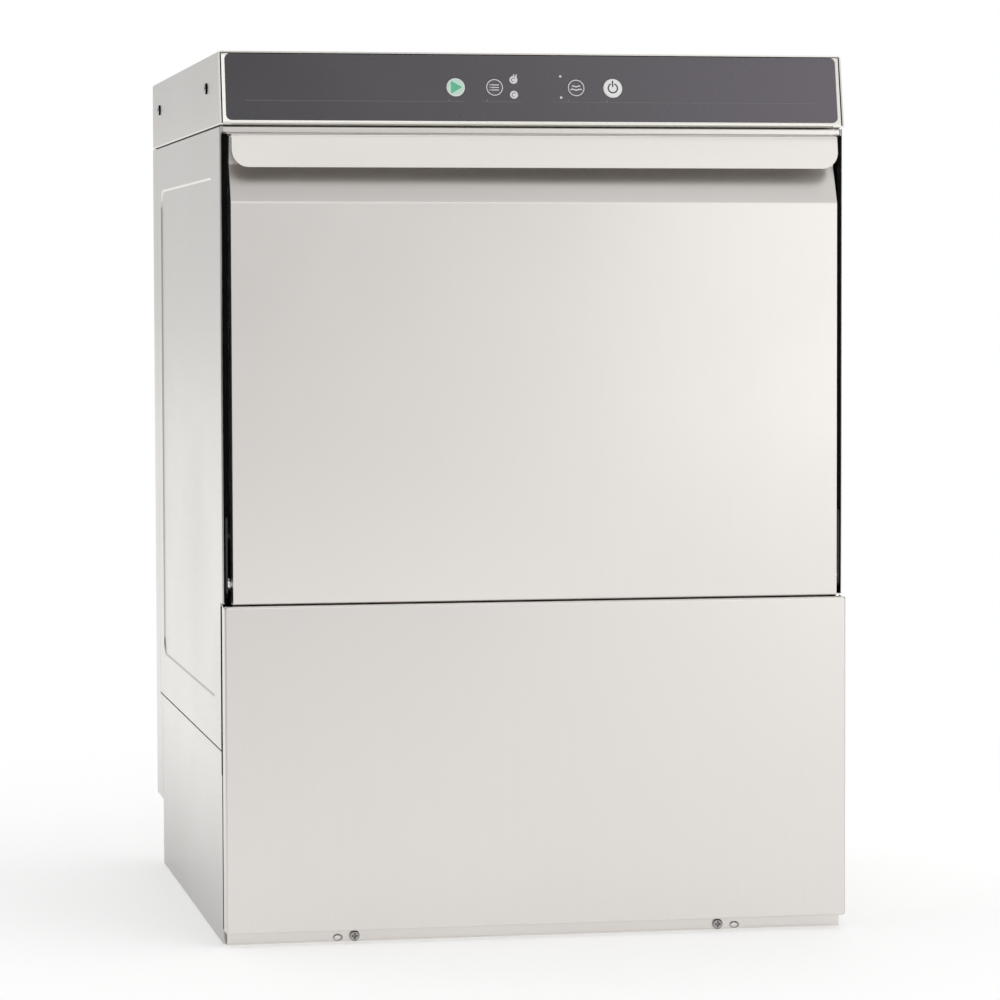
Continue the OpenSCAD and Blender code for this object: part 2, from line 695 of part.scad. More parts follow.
module arm_cap() difference() {
    union() {
        translate([0, 0, cap_z + 0.4]) cylinder(h = 6.6, r = 14);
        translate([0, 0, cap_z + 7]) cylinder(h = 3, r1 = 14, r2 = 10);
    }
    translate([0, 0, cap_z]) cylinder(h = 7, r = 5);
    for (a = [0:45:315]) rotate(a) rod_along_z(1.6, cap_z, cap_z + 12, 14.5, 0);
}

module arm_caps() color(black) {
    translate([0, arm_y, lower_arm_z]) arm_cap();
    translate([0, arm_y, upper_arm_z]) mirror([0, 0, 1]) arm_cap();
}

module wash_arm() color(steel) {
    half = arm_len / 2;
    difference() {
        union() {
            translate([0, 0, 0.3]) cylinder(h = wash_seat_h - 1.6, r = 26);
            along_x(-half, half) rounded([-17, 4], [17, 18], 6);
        }
        along_x(-half + thin, half - thin) rounded([-17 + thin, 4 + thin], [17 - thin, 18 - thin], 4.8);
        translate([0, 0, -1]) cylinder(h = 30, r = wash_seat_r + run_fit);
        for (side = [-1, 1], i = [0:4])
            box([side * (65 + i * 38) - 1, -9, 12], [side * (65 + i * 38) + 1, 9, 20]);
    }
    difference() {
        translate([0, 0, 0.3]) cylinder(h = wash_seat_h - 1.6, r = 18);
        translate([0, 0, -1]) cylinder(h = 30, r = wash_seat_r + run_fit);
        for (a = [0:60:120]) rotate(a) rod_along_x(3.5, -20, 20, 0, 11);
    }
}

module rinse_arm() color(steel) {
    half = arm_len / 2 - 12;
    z = wash_seat_h + 0.3;
    difference() {
        union() {
            translate([0, 0, z]) cylinder(h = rinse_seat_h - 0.9, r = 17);
            along_x(-half, half) translate([0, z + 6.5]) circle(5);
            for (side = [-1, 1], i = [0:4])
                rod_along_z(3, z + 10, z + 13, side * (52 + i * 41), 0);
        }
        for (side = [-1, 1]) rod_along_x(4, side > 0 ? 10 : -half + 1, side > 0 ? half - 1 : -10, 0, z + 6.5);
        for (side = [-1, 1], i = [0:4])
            rod_along_z(0.9, z + 7, z + 14, side * (52 + i * 41), 0);
        translate([0, 0, z - 1]) cylinder(h = 20, r = rinse_seat_r + run_fit);
    }
}

module lower_wash_arm() translate([0, arm_y, lower_arm_z]) rotate(12) wash_arm();
module lower_rinse_arm() translate([0, arm_y, lower_arm_z]) rotate(66) rinse_arm();
module upper_wash_arm() translate([0, arm_y, upper_arm_z]) mirror([0, 0, 1]) rotate(-20) wash_arm();
module upper_rinse_arm() translate([0, arm_y, upper_arm_z]) mirror([0, 0, 1]) rotate(48) rinse_arm();

// ---- Water circuit ----

// Tee over the pump, the pipe behind the tank and up the back wall, and the feed of the upper arms
module wash_manifold() color(dull_steel) difference() {
    union() {
        rod_along_z(spindle_r, tee_z, spindle_z0, 0, arm_y);
        pipe_run([[0, arm_y + 12, 213], [0, riser_y, 213], [0, riser_y, riser_top],
            [0, arm_y + 11, riser_top]], riser_r, 22);
    }
    rod_along_z(spindle_r - 3, tee_z - 1, spindle_z0 + 1, 0, arm_y);
    pipe_run([[0, arm_y, 213], [0, riser_y, 213], [0, riser_y, riser_top],
        [0, arm_y, riser_top]], riser_r - 1.5, 22);
    rod_along_x(6, -spindle_r - 2, 0, arm_y, 186);
}

module rinse_line() color(black) {
    pipe_run([[boiler_x, boiler_y0 + 40, boiler_z + boiler_r], [boiler_x, boiler_y0 + 40, 186],
        [-45, boiler_y0 + 40, 186], [-45, arm_y, 186], [-8, arm_y, 186]], 6, 12);
    pipe_run([[boiler_x, boiler_y1 - 30, boiler_z + boiler_r], [boiler_x, boiler_y1 - 30, 205],
        [boiler_x, y_back - 36, 205], [boiler_x, y_back - 36, feed_z],
        [boiler_x, arm_y, feed_z], [0, arm_y, feed_z], [0, arm_y, chamber_z1 - 4]], 4.8, 12);
}

module pump_volute() color(white_plastic) difference() {
    union() {
        rod_along_x(volute_r, -volute_w, volute_w, pump_y, pump_z);
        rod_along_x(20, -volute_w - 16, -volute_w, pump_y, pump_z);
        rod_along_z(spindle_r, pump_z, tee_z, 0, arm_y);
    }
    rod_along_x(50, -volute_w + 5, volute_w - 5, pump_y, pump_z);
    rod_along_x(17, -volute_w - 17, -volute_w - 6, pump_y, pump_z);
    rod_along_x(13, -volute_w - 7, 0, pump_y, pump_z);
    rod_along_x(shaft_r + 0.6, 0, volute_w + 1, pump_y, pump_z);
    rod_along_z(spindle_r - 4, pump_z + 8, tee_z + 1, 0, arm_y);
}

module pump_motor() color([0.35, 0.37, 0.40]) difference() {
    union() {
        rod_along_x(56, volute_w, motor_x1 - 22, pump_y, pump_z);
        rod_along_x(59, motor_x1 - 34, motor_x1, pump_y, pump_z);
        for (a = [-120:20:120]) translate([0, pump_y, pump_z]) rotate([a, 0, 0])
            box([volute_w + 12, -1.5, 50], [motor_x1 - 38, 1.5, 61]);
        box([70, pump_y - 22, floor_z], [100, pump_y + 22, pump_z - 40]);
    }
    rod_along_x(shaft_r + run_fit, volute_w - 1, motor_x1 - 10, pump_y, pump_z);
    rod_along_y(12, pump_y - 60, pump_y + 60, 85, service_z);
}

module pump_rotor() color([0.25, 0.25, 0.27]) {
    rod_along_x(shaft_r, 2, motor_x1 - 11, pump_y, pump_z);
    rod_along_x(16, -8, 4, pump_y, pump_z);
    rod_along_x(45, 4, 8, pump_y, pump_z);
    for (a = [0:60:300]) translate([0, pump_y, pump_z]) rotate([a, 0, 0])
        box([-8, -1.5, 14], [5, 1.5, 44]);
}

module suction_elbow() color(black) hose([[sump_x, pump_y, sump_z + thin], [sump_x, pump_y, pump_z],
    [-volute_w - 6, pump_y, pump_z]], 17, 3, 30);

module boiler() color(dull_steel) difference() {
    union() {
        rod_along_y(boiler_r, boiler_y0, boiler_y1, boiler_x, boiler_z);
        for (y = [boiler_y0 + 45, boiler_y1 - 65])
            box([boiler_x - 40, y, floor_z], [boiler_x + 40, y + 20, boiler_z - 50]);
    }
    rod_along_y(boiler_r - 1.5, boiler_y0 + 1.5, boiler_y1 - 1.5, boiler_x, boiler_z);
    rod_along_y(30, boiler_y0 - 1, boiler_y0 + 3, boiler_x, boiler_z);
}

module boiler_element() color([0.45, 0.43, 0.41]) {
    rod_along_y(38, boiler_y0 - 5, boiler_y0, boiler_x, boiler_z);
    for (x = [-16, 16]) translate([boiler_x + x, 0, boiler_z]) {
        pipe_run([[0, boiler_y0 - 1, -14], [0, boiler_y1 - 20, -14], [0, boiler_y1 - 20, 14],
            [0, boiler_y0 - 1, 14]], 4, 14 - 0.01);
        for (z = [-14, 14]) rod_along_y(3, boiler_y0 - 16, boiler_y0 - 4, 0, z);
    }
}

module fill_valve() color(white_plastic) {
    difference() {
        union() {
            rod_along_y(12.8, y_base - 12, y_base + 1, inlet_x, service_z);
            rod_along_y(spigot_r, y_base, y_base + spigot_l, inlet_x, service_z);
        }
        rod_along_y(9, y_base + 2, y_base + spigot_l + 1, inlet_x, service_z);
    }
    rod_along_y(17, y_base - 22, y_base - sheet, inlet_x, service_z);
    box([inlet_x - 16, y_base - 62, service_z - 14], [inlet_x + 16, y_base - 20, service_z + 14]);
    rod_along_z(15, service_z + 12, service_z + 50, inlet_x, y_base - 42);
}

module drain_pump() color(white_plastic) {
    x = drain_drop[0];
    y = drain_drop[1];
    difference() {
        union() {
            rod_along_y(28, y - 16, y + 16, x, drain_z);
            rod_along_z(12, drain_z, drain_z + 42, x, y);
            rod_along_x(12, x, x + 40, y, service_z);
        }
        rod_along_y(23, y - 12, y + 12, x, drain_z);
        rod_along_z(9.5, drain_z, drain_z + 43, x, y);
        rod_along_x(9.5, x, x + 41, y, service_z);
    }
    rod_along_y(24, y - 72, y - 16, x, drain_z);
    box([x - 20, y - 66, floor_z], [x + 20, y - 22, drain_z - 15]);
}

// Hose from the sump to the drain pump, and from the pump to the rear spigot
module drain_hose() color(black) {
    x = drain_drop[0];
    y = drain_drop[1];
    hose([[x, y, sump_z + thin], [x, y, drain_z + 30]], 9.5, 2, 10);
    hose([[x + 28, y, service_z], [drain_x, y, service_z], [drain_x, y_base - 14, service_z]],
        9.5, 2, 25);
}

module drain_outlet() color(white_plastic) difference() {
    union() {
        rod_along_y(10.7, y_base - 16, y_base + 1, drain_x, service_z);
        rod_along_y(tail_r, y_base, y_base + tail_l, drain_x, service_z);
        rod_along_y(15, y_base - 5, y_base - sheet, drain_x, service_z);
    }
    rod_along_y(9.5, y_base - 17, y_base - 14, drain_x, service_z);
    rod_along_y(8, y_base - 15, y_base + tail_l + 1, drain_x, service_z);
}

// ---- Electrical and dosing ----

// Sheet box, its lid, and three contactors on a rail inside
module electric_box() color(dull_steel) {
    inner = [thin, 0, thin];
    difference() {
        box(ebox_lo + [0, thin, 0], ebox_hi);
        box(ebox_lo + inner, ebox_hi - [thin, thin, thin]);
        box([ebox_lo[0] - 1, ebox_hi[1] - 40, 90], [ebox_lo[0] + 3, ebox_hi[1] - 20, 110]);
    }
    box(ebox_lo, [ebox_hi[0], ebox_lo[1] + thin, ebox_hi[2]]);
    for (i = [0:2]) box([ebox_lo[0] + 18 + i * 50, ebox_hi[1] - thin - 62, 84],
        [ebox_lo[0] + 58 + i * 50, ebox_hi[1] - thin, 142]);
}

module cable_gland() color(black) {
    rod_along_y(10, y_base - 8, y_base + 6, gland_x, service_z);
    rod_along_y(14, y_base, y_base + 6, gland_x, service_z);
    rod_along_y(12, y_base + 5, y_base + 18, gland_x, service_z);
    rod_along_y(14, y_base - 8, y_base - sheet, gland_x, service_z);
    rod_along_y(6.5, y_base - 22, y_base + 56, gland_x, service_z);
}

// Two peristaltic pump heads and their gear motors on one plate
module dosing_unit() color([0.24, 0.25, 0.28]) difference() {
    union() {
        box([doser_x - 32, doser_y + 20, 46], [doser_x + 32, doser_y + 22, doser_z[1] + 32]);
        box([doser_x - 32, doser_y + 20, 46], [doser_x + 32, doser_y + 62, 48]);
        for (z = doser_z) {
            rod_along_y(26, doser_y, doser_y + 21, doser_x, z);
            rod_along_y(18, doser_y + 21, doser_y + 68, doser_x, z);
        }
    }
    for (z = doser_z) {
        rod_along_y(doser_bore_r, doser_y - 1, doser_y + 17, doser_x, z);
        rod_along_y(4 + run_fit, doser_y + 10, doser_y + 50, doser_x, z);
    }
}

module doser_rotor(z) translate([doser_x, 0, z]) {
    rod_along_y(4, doser_y + 2, doser_y + 49, 0, 0);
    for (y = [doser_y + 2, doser_y + 13]) rod_along_y(15, y, y + 2.5, 0, 0);
    for (a = [0:120:240]) rotate([0, a, 0]) rod_along_y(roller_r, doser_y + 4, doser_y + 14, 0, 11);
}

module detergent_rotor() color([0.75, 0.76, 0.78]) doser_rotor(doser_z[0]);
module rinse_aid_rotor() color([0.75, 0.76, 0.78]) doser_rotor(doser_z[1]);

// ---- Levelling feet ----

module foot(x, y) color(black) translate([x, y, 0]) {
    cylinder(h = foot_pad_h, r = 17);
    cylinder(h = foot_pad_h + 28, r = 5);
}

module foot_front_left() foot(-foot_x, foot_y[0]);
module foot_front_right() foot(foot_x, foot_y[0]);
module foot_rear_left() foot(-foot_x, foot_y[1]);
module foot_rear_right() foot(foot_x, foot_y[1]);

// ---- Drawing ----

base_frame();
side_panel_left();
side_panel_right();
rear_panel();
top_cover();
control_fascia();
fascia_overlay();
display_board();
front_header();
front_frame();
wash_chamber();
tank();
door_seal();
rack_rails();
strainer_tray();
filter_basket();
arm_spindles();
arm_caps();
wash_manifold();
rinse_line();
tank_heater();
pump_volute();
pump_motor();
pump_rotor();
suction_elbow();
boiler();
boiler_element();
fill_valve();
drain_pump();
drain_hose();
drain_outlet();
electric_box();
cable_gland();
dosing_unit();
detergent_rotor();
rinse_aid_rotor();
hinge_brackets();
hinge_pins();
rod_guides();
draw_rods();
door_springs();
front_panel();
case_screws();
door_sensor();
door_skin();
door_liner();
door_ribs();
door_hinges();
lower_wash_arm();
lower_rinse_arm();
upper_wash_arm();
upper_rinse_arm();
key_start();
key_program();
key_drain();
key_power();
foot_front_left();
foot_front_right();
foot_rear_left();
foot_rear_right();
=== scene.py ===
import itertools
import json
from math import atan, cos, pi, radians, sin, sqrt, tan

import bmesh
import bpy
from mathutils import Matrix, Vector


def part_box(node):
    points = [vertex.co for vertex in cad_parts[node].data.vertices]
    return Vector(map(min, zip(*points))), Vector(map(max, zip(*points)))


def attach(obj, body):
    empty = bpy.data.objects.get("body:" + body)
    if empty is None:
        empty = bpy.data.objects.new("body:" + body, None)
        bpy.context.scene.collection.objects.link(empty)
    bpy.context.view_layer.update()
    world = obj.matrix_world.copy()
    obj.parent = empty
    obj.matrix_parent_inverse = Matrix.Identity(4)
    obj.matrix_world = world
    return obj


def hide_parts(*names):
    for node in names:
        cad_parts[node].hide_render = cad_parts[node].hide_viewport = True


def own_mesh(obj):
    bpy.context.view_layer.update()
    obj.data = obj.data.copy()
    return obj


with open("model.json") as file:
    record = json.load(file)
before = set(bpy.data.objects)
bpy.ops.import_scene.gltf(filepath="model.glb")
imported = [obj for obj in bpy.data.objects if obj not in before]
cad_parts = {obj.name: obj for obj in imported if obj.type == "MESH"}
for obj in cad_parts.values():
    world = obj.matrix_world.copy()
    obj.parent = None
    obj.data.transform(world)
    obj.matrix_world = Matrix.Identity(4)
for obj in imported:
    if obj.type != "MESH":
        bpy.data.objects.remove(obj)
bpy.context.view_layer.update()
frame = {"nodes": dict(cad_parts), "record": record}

SCENE = bpy.context.scene
MM = 0.001
WHITE = (1, 1, 1, 1)

JOINT = 6.5 * MM           # step between the front panel's returns and the edges of the side sheets
FASCIA_LEAN = 14.5 * MM    # how far the fascia's top stands back from its foot
HOOD_HEIGHT = 70 * MM
KEY_HEIGHT = 37.4 * MM     # centre of the keys, up the fascia's face
KEY_TOP = 0.50 * MM
KEY_INK = (KEY_TOP - 0.02 * MM, KEY_TOP + 0.05 * MM)
FILM_INK = (0.10 * MM, 0.20 * MM)
TANK_FLOOR = 0.245
SEAL_STEP_Z = 0.414        # where the side seals become narrow
CLIP_X, CLIP_Z = -0.110, 0.110
SPRING_X = 0.284
NUB_X = 0.1955


# ---- shader helpers

class Graph:
    """Short ways to add nodes to a material or a world and to join them."""

    def __init__(self, owner):
        owner.use_nodes = True
        self.tree = owner.node_tree
        self.tree.nodes.clear()

    def node(self, kind, **settings):
        made = self.tree.nodes.new(kind)
        for key, value in settings.items():
            setattr(made, key, value)
        return made

    def feed(self, target, source):
        self.tree.links.new(source, target)

    def ramp(self, value, low, high, out_low, out_high, interpolation="LINEAR"):
        """value mapped from low..high to out_low..out_high, held at the ends."""
        ranged = self.node("ShaderNodeMapRange", clamp=True, interpolation_type=interpolation)
        for i, number in enumerate((low, high, out_low, out_high), 1):
            ranged.inputs[i].default_value = number
        self.feed(ranged.inputs[0], value)
        return ranged.outputs[0]

    def maths(self, operation, a, b):
        made = self.node("ShaderNodeMath", operation=operation)
        for socket, value in zip(made.inputs, (a, b)):
            if isinstance(value, (int, float)):
                socket.default_value = value
            else:
                self.feed(socket, value)
        return made.outputs[0]

    def along(self, vector, direction):
        """How far a vector reaches along a direction."""
        dot = self.node("ShaderNodeVectorMath", operation="DOT_PRODUCT")
        self.feed(dot.inputs[0], vector)
        dot.inputs[1].default_value = direction
        return dot.outputs["Value"]

    def finish(self, kind, factor, first, second):
        """Ends the graph in an output node with a blend of two shaders."""
        mix = self.node("ShaderNodeMixShader")
        for socket, source in zip(mix.inputs, (factor, first, second)):
            self.feed(socket, source)
        self.feed(self.node(kind).inputs[0], mix.outputs[0])


class Shader(Graph):
    """A Principled material whose nodes read the object's own coordinates."""

    def __init__(self, name, colour, metallic=0.0, roughness=0.5, **inputs):
        self.material = bpy.data.materials.new(name)
        super().__init__(self.material)
        self.bsdf = self.node("ShaderNodeBsdfPrincipled")
        self.feed(self.node("ShaderNodeOutputMaterial").inputs[0], self.bsdf.outputs[0])
        self.bsdf.inputs["Base Color"].default_value = (*colour, 1)
        self.bsdf.inputs["Metallic"].default_value = metallic
        self.bsdf.inputs["Roughness"].default_value = roughness
        for key, value in inputs.items():
            self.bsdf.inputs[key.replace("_", " ")].default_value = value
        self.place = self.node("ShaderNodeTexCoord").outputs["Object"]
        self.colour = colour

    def noise(self, scale, stretch=(1, 1, 1), detail=3.0, rough=0.5):
        """Noise between 0 and 1, with features of about 1/scale metres, stretched per axis."""
        mapping = self.node("ShaderNodeMapping")
        mapping.inputs["Scale"].default_value = stretch
        self.feed(mapping.inputs["Vector"], self.place)
        noise = self.node("ShaderNodeTexNoise")
        noise.inputs["Scale"].default_value = scale
        noise.inputs["Detail"].default_value = detail
        noise.inputs["Roughness"].default_value = rough
        self.feed(noise.inputs["Vector"], mapping.outputs[0])
        return noise.outputs[0]

    def mix(self, factor, first, second):
        """A colour between first and second; each is an RGB triple or a socket."""
        made = self.node("ShaderNodeMix", data_type="RGBA")
        self.feed(made.inputs[0], factor)
        for socket, value in zip((made.inputs[6], made.inputs[7]), (first, second)):
            if isinstance(value, tuple):
                socket.default_value = (*value, 1)
            else:
                self.feed(socket, value)
        return made.outputs[2]

    def tint(self, factor, second):
        """Blends the base colour towards second by factor."""
        current = self.bsdf.inputs["Base Color"]
        first = current.links[0].from_socket if current.is_linked else self.colour
        self.feed(current, self.mix(factor, first, second))

    def roughen(self, value):
        self.feed(self.bsdf.inputs["Roughness"], value)

    def bump(self, value, strength, distance=0.0005):
        made = self.node("ShaderNodeBump")
        made.inputs["Strength"].default_value = strength
        made.inputs["Distance"].default_value = distance
        self.feed(made.inputs["Height"], value)
        normal = self.bsdf.inputs["Normal"]
        if normal.is_linked:
            self.feed(made.inputs["Normal"], normal.links[0].from_socket)
        self.feed(normal, made.outputs[0])

    def axis(self, letter):
        """One coordinate of the surface point, in metres."""
        split = self.node("ShaderNodeSeparateXYZ")
        self.feed(split.inputs[0], self.place)
        return split.outputs["XYZ".index(letter)]


def darker(colour, share):
    return tuple(c * share for c in colour)


# ---- materials

def brushed_steel(name, colour, roughness, grain, contrast=1.0):
    """Satin stainless sheet: a fine grain along one axis, soft smudges and faint scratches."""
    s = Shader(name, colour, metallic=1.0, roughness=roughness)

    def drawn(share):
        return tuple(share if letter == grain else 1 for letter in "XYZ")

    lines = s.noise(900, drawn(0.02), detail=4, rough=0.6)
    broad = s.noise(120, drawn(0.03), detail=2)
    smudge = s.noise(3.5, detail=5, rough=0.55)
    scratch = s.ramp(s.noise(260, (1, 0.06, 0.9), detail=1), 0.70, 0.74, 0, 1)
    base = s.ramp(smudge, 0.3, 0.7, roughness - 0.03, roughness + 0.04)
    grainy = s.ramp(lines, 0.25, 0.75, -0.045 * contrast, 0.045 * contrast)
    s.roughen(s.maths("ADD", base, grainy))
    s.tint(s.ramp(lines, 0.3, 0.7, 0, 0.16 * contrast), darker(colour, 0.86))
    s.tint(s.ramp(broad, 0.35, 0.7, 0, 0.10 * contrast), darker(colour, 0.90))
    s.tint(s.ramp(smudge, 0.45, 0.75, 0, 0.12), darker(colour, 0.93))
    s.tint(s.maths("MULTIPLY", scratch, 0.05 * contrast), darker(colour, 0.7))
    s.bump(lines, 0.05 * contrast, 0.00004)
    return s


def side_steel(name, colour):
    """Brushed sheet of the cabinet sides, with painted shade on its sideways faces close to the
    floor.
    """
    s = brushed_steel(name, colour, 0.33, "Y", 0.6)
    split = s.node("ShaderNodeSeparateXYZ")
    s.feed(split.inputs[0], s.node("ShaderNodeNewGeometry").outputs["Normal"])
    sideways = s.maths("ABSOLUTE", split.outputs["X"], 0)
    # painted shade: sideways faces darken towards the floor, standing in for the shade they reflect
    # there
    low = s.ramp(s.axis("Z"), 0.17, 0.0, 0, 1)
    s.tint(s.maths("MULTIPLY", low, sideways), darker(colour, 0.66))
    return s


def screw_steel(name):
    """Plated screw heads with painted shade in the recess and round the rim."""
    colour = (0.42, 0.41, 0.40)
    s = brushed_steel(name, colour, 0.30, "X", 0.6)
    recess_shade = s.node("ShaderNodeAmbientOcclusion")
    recess_shade.inputs["Distance"].default_value = 0.0022
    # painted shade: near black where occlusion is strong, in the recess and round the rim
    s.tint(s.ramp(recess_shade.outputs["AO"], 0.45, 0.92, 0.97, 0), (0.012, 0.012, 0.012))
    return s


def film(name, left, right):
    """The printed film on the controls: smooth, with painted light that makes it lighter towards the
    right.
    """
    s = Shader(name, left, roughness=0.28, Coat_Weight=0.25, Coat_Roughness=0.12)
    x = s.axis("X")
    # painted light: the colour runs across the width towards the lighter right colour
    s.tint(s.ramp(x, -0.28, 0.28, 0, 1), right)
    speck = s.noise(2400, detail=2)
    s.tint(s.ramp(speck, 0.35, 0.75, 0, 0.18), darker(left, 0.8))
    s.roughen(s.ramp(s.noise(14, detail=4), 0.3, 0.7, 0.22, 0.33))
    s.bump(speck, 0.06, 0.00003)
    return s


def plastic(name, colour, roughness=0.45, grain=1500, strength=0.12):
    """Moulded plastic with a fine eroded texture and slight colour variation."""
    s = Shader(name, colour, roughness=roughness)
    fine = s.noise(grain, detail=3)
    broad = s.noise(24, detail=4)
    s.tint(s.ramp(broad, 0.35, 0.75, 0, 0.25), darker(colour, 0.82))
    s.roughen(s.ramp(fine, 0.3, 0.7, roughness - 0.07, roughness + 0.08))
    s.bump(fine, strength, 0.00008)
    return s


def rubber(name, colour=(0.025, 0.025, 0.026)):
    """Black rubber with a dusty bloom."""
    s = Shader(name, colour, roughness=0.62)
    bloom = s.noise(60, detail=6, rough=0.65)
    fine = s.noise(1800, detail=2)
    s.tint(s.ramp(bloom, 0.45, 0.8, 0, 0.35), (0.075, 0.073, 0.07))
    s.roughen(s.ramp(bloom, 0.3, 0.8, 0.5, 0.75))
    s.bump(fine, 0.15, 0.00008)
    return s


def dull_black(name):
    """Black for foam and edging, no sheen, a little dust; on the door-gap strips and the hood screw
    collars it is painted shade.
    """
    s = Shader(name, (0.006, 0.006, 0.006), roughness=0.9, Specular_IOR_Level=0.0)
    s.tint(s.ramp(s.noise(90, detail=5), 0.5, 0.8, 0, 0.5), (0.016, 0.015, 0.015))
    s.bump(s.noise(1500, detail=2), 0.2, 0.0001)
    return s


def zinc(name):
    """Zinc-plated steel with a mottled spangle."""
    colour = (0.55, 0.56, 0.58)
    s = Shader(name, colour, metallic=1.0, roughness=0.38)
    cells = s.node("ShaderNodeTexVoronoi")
    cells.inputs["Scale"].default_value = 260
    s.feed(cells.inputs["Vector"], s.place)
    grey = s.ramp(cells.outputs["Distance"], 0.0, 0.9, 0, 0.35)
    s.tint(grey, darker(colour, 0.72))
    s.roughen(s.ramp(s.noise(90, detail=4), 0.3, 0.7, 0.3, 0.48))
    s.bump(s.noise(700, detail=3), 0.08, 0.00005)
    return s


def paint(name, colour):
    """Sprayed machine paint with orange peel and dull patches."""
    s = Shader(name, colour, roughness=0.4)
    peel = s.noise(450, detail=2)
    s.tint(s.ramp(s.noise(30, detail=5), 0.4, 0.8, 0, 0.3), darker(colour, 0.7))
    s.roughen(s.ramp(s.noise(40, detail=4), 0.3, 0.7, 0.34, 0.5))
    s.bump(peel, 0.2, 0.0001)
    return s


def heated_steel(name):
    """Heater sheath: steel with straw and brown heat tints and lime spots."""
    s = Shader(name, (0.36, 0.33, 0.30), metallic=1.0, roughness=0.45)
    tints = s.noise(28, detail=4)
    s.tint(s.ramp(tints, 0.4, 0.65, 0, 0.7), (0.26, 0.19, 0.13))
    lime = s.ramp(s.noise(420, detail=3), 0.62, 0.7, 0, 0.6)
    s.tint(lime, (0.6, 0.58, 0.55))
    s.roughen(s.ramp(tints, 0.3, 0.7, 0.35, 0.6))
    s.bump(s.noise(600), 0.15, 0.0001)
    return s


def circuit(name):
    """Green solder mask over faint square tracks."""
    green = (0.03, 0.16, 0.08)
    s = Shader(name, green, roughness=0.3)
    tracks = s.node("ShaderNodeTexBrick")
    tracks.inputs["Scale"].default_value = 180
    s.feed(tracks.inputs["Vector"], s.place)
    s.tint(s.maths("MULTIPLY", tracks.outputs["Fac"], 0.6), (0.06, 0.26, 0.12))
    s.bump(tracks.outputs["Fac"], 0.3, 0.0001)
    return s


def ink(name, colour, roughness=0.4):
    """Screen-printed ink with a fine grain."""
    s = Shader(name, colour, roughness=roughness)
    grain = s.noise(5000, detail=2)
    s.tint(s.ramp(grain, 0.35, 0.7, 0, 0.2), darker(colour, 0.85))
    s.bump(grain, 0.1, 0.00002)
    return s


OUTER = (0.78, 0.752, 0.722)
MATERIALS = {name: make(name, *rest).material for name, make, *rest in (
    ("stainless_outer", brushed_steel, OUTER, 0.33, "Z", 0.5),
    ("stainless_side", side_steel, OUTER),
    ("fascia_steel", brushed_steel, (0.86, 0.85, 0.80), 0.26, "X", 0.6),
    ("stainless_inner", brushed_steel, (0.66, 0.655, 0.645), 0.30, "Y"),
    ("zinc_steel", zinc),
    ("screw_steel", screw_steel),
    ("bright_steel", brushed_steel, (0.72, 0.72, 0.72), 0.22, "X", 0.5),
    ("black_steel", paint, (0.05, 0.05, 0.055)),
    # overlay and key_dark: the second colour is painted light, lighter towards the right
    ("overlay", film, (0.036, 0.031, 0.037), (0.145, 0.130, 0.152)),
    ("key_light", plastic, (0.93, 0.93, 0.92), 0.35, 2400, 0.05),
    ("key_dark", film, (0.080, 0.075, 0.081), (0.115, 0.108, 0.118)),
    ("black_rubber", rubber),
    ("dull_black", dull_black),
    ("black_plastic", plastic, (0.035, 0.035, 0.036), 0.5),
    ("light_plastic", plastic, (0.72, 0.72, 0.69), 0.42),
    ("motor_paint", paint, (0.09, 0.10, 0.115)),
    ("heater_sheath", heated_steel),
    ("circuit_board", circuit),
    ("ink_light", ink, (0.80, 0.79, 0.80)),
    ("ink_pale_green", ink, (0.62, 0.84, 0.72)),
    # grey print for the lines, and the painted shadow behind the rail nubs
    ("ink_line", ink, (0.20, 0.19, 0.20)),
    ("ink_green", ink, (0.13, 0.56, 0.34)),
    ("ink_dark", ink, (0.030, 0.030, 0.034)),
)}
SLOT_OF = {row["node"]: row["material_slot"] for row in frame["record"]["subparts"]}
SIDE_FACES = ("side_panel_left", "side_panel_right", "top_cover", "base_frame", "rear_panel")


# ---- mesh helpers

def new_piece(name, body, material, slot, *replaces):
    """An empty mesh object on a body, in place of the CAD nodes named last."""
    mesh = bpy.data.meshes.new(name)
    piece = bpy.data.objects.new(name, mesh)
    SCENE.collection.objects.link(piece)
    mesh.materials.append(MATERIALS[material])
    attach(piece, body)
    if replaces:
        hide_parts(*replaces)
    return piece


def fill(piece, bm, smooth_angle=32, tidy=True):
    """Writes bm into the piece with outward normals and smooth shading below an angle."""
    if tidy:
        bmesh.ops.remove_doubles(bm, verts=bm.verts, dist=1e-6)
    bmesh.ops.recalc_face_normals(bm, faces=bm.faces)
    bm.to_mesh(piece.data)
    bm.free()
    smooth(piece, smooth_angle)
    return piece


def smooth(piece, angle):
    mesh = piece.data
    for face in mesh.polygons:
        face.use_smooth = True
    mesh.set_sharp_from_angle(angle=radians(angle))


def modifier(piece, kind, name, **settings):
    made = piece.modifiers.new(name, kind)
    for key, value in settings.items():
        setattr(made, key, value)
    return made


def thicken(piece, thickness, offset=-1):
    modifier(piece, "SOLIDIFY", "thickness", thickness=thickness, offset=offset,
             use_even_offset=True, use_quality_normals=True)


def soften(piece, width, angle=40, segments=2):
    modifier(piece, "BEVEL", "edges", width=width, segments=segments, limit_method="ANGLE",
             angle_limit=radians(angle), use_clamp_overlap=True, harden_normals=True)


def flatten(piece):
    """Keeps the large flat faces of a sheet looking flat beside its bends."""
    modifier(piece, "WEIGHTED_NORMAL", "normals", weight=100, keep_sharp=True)


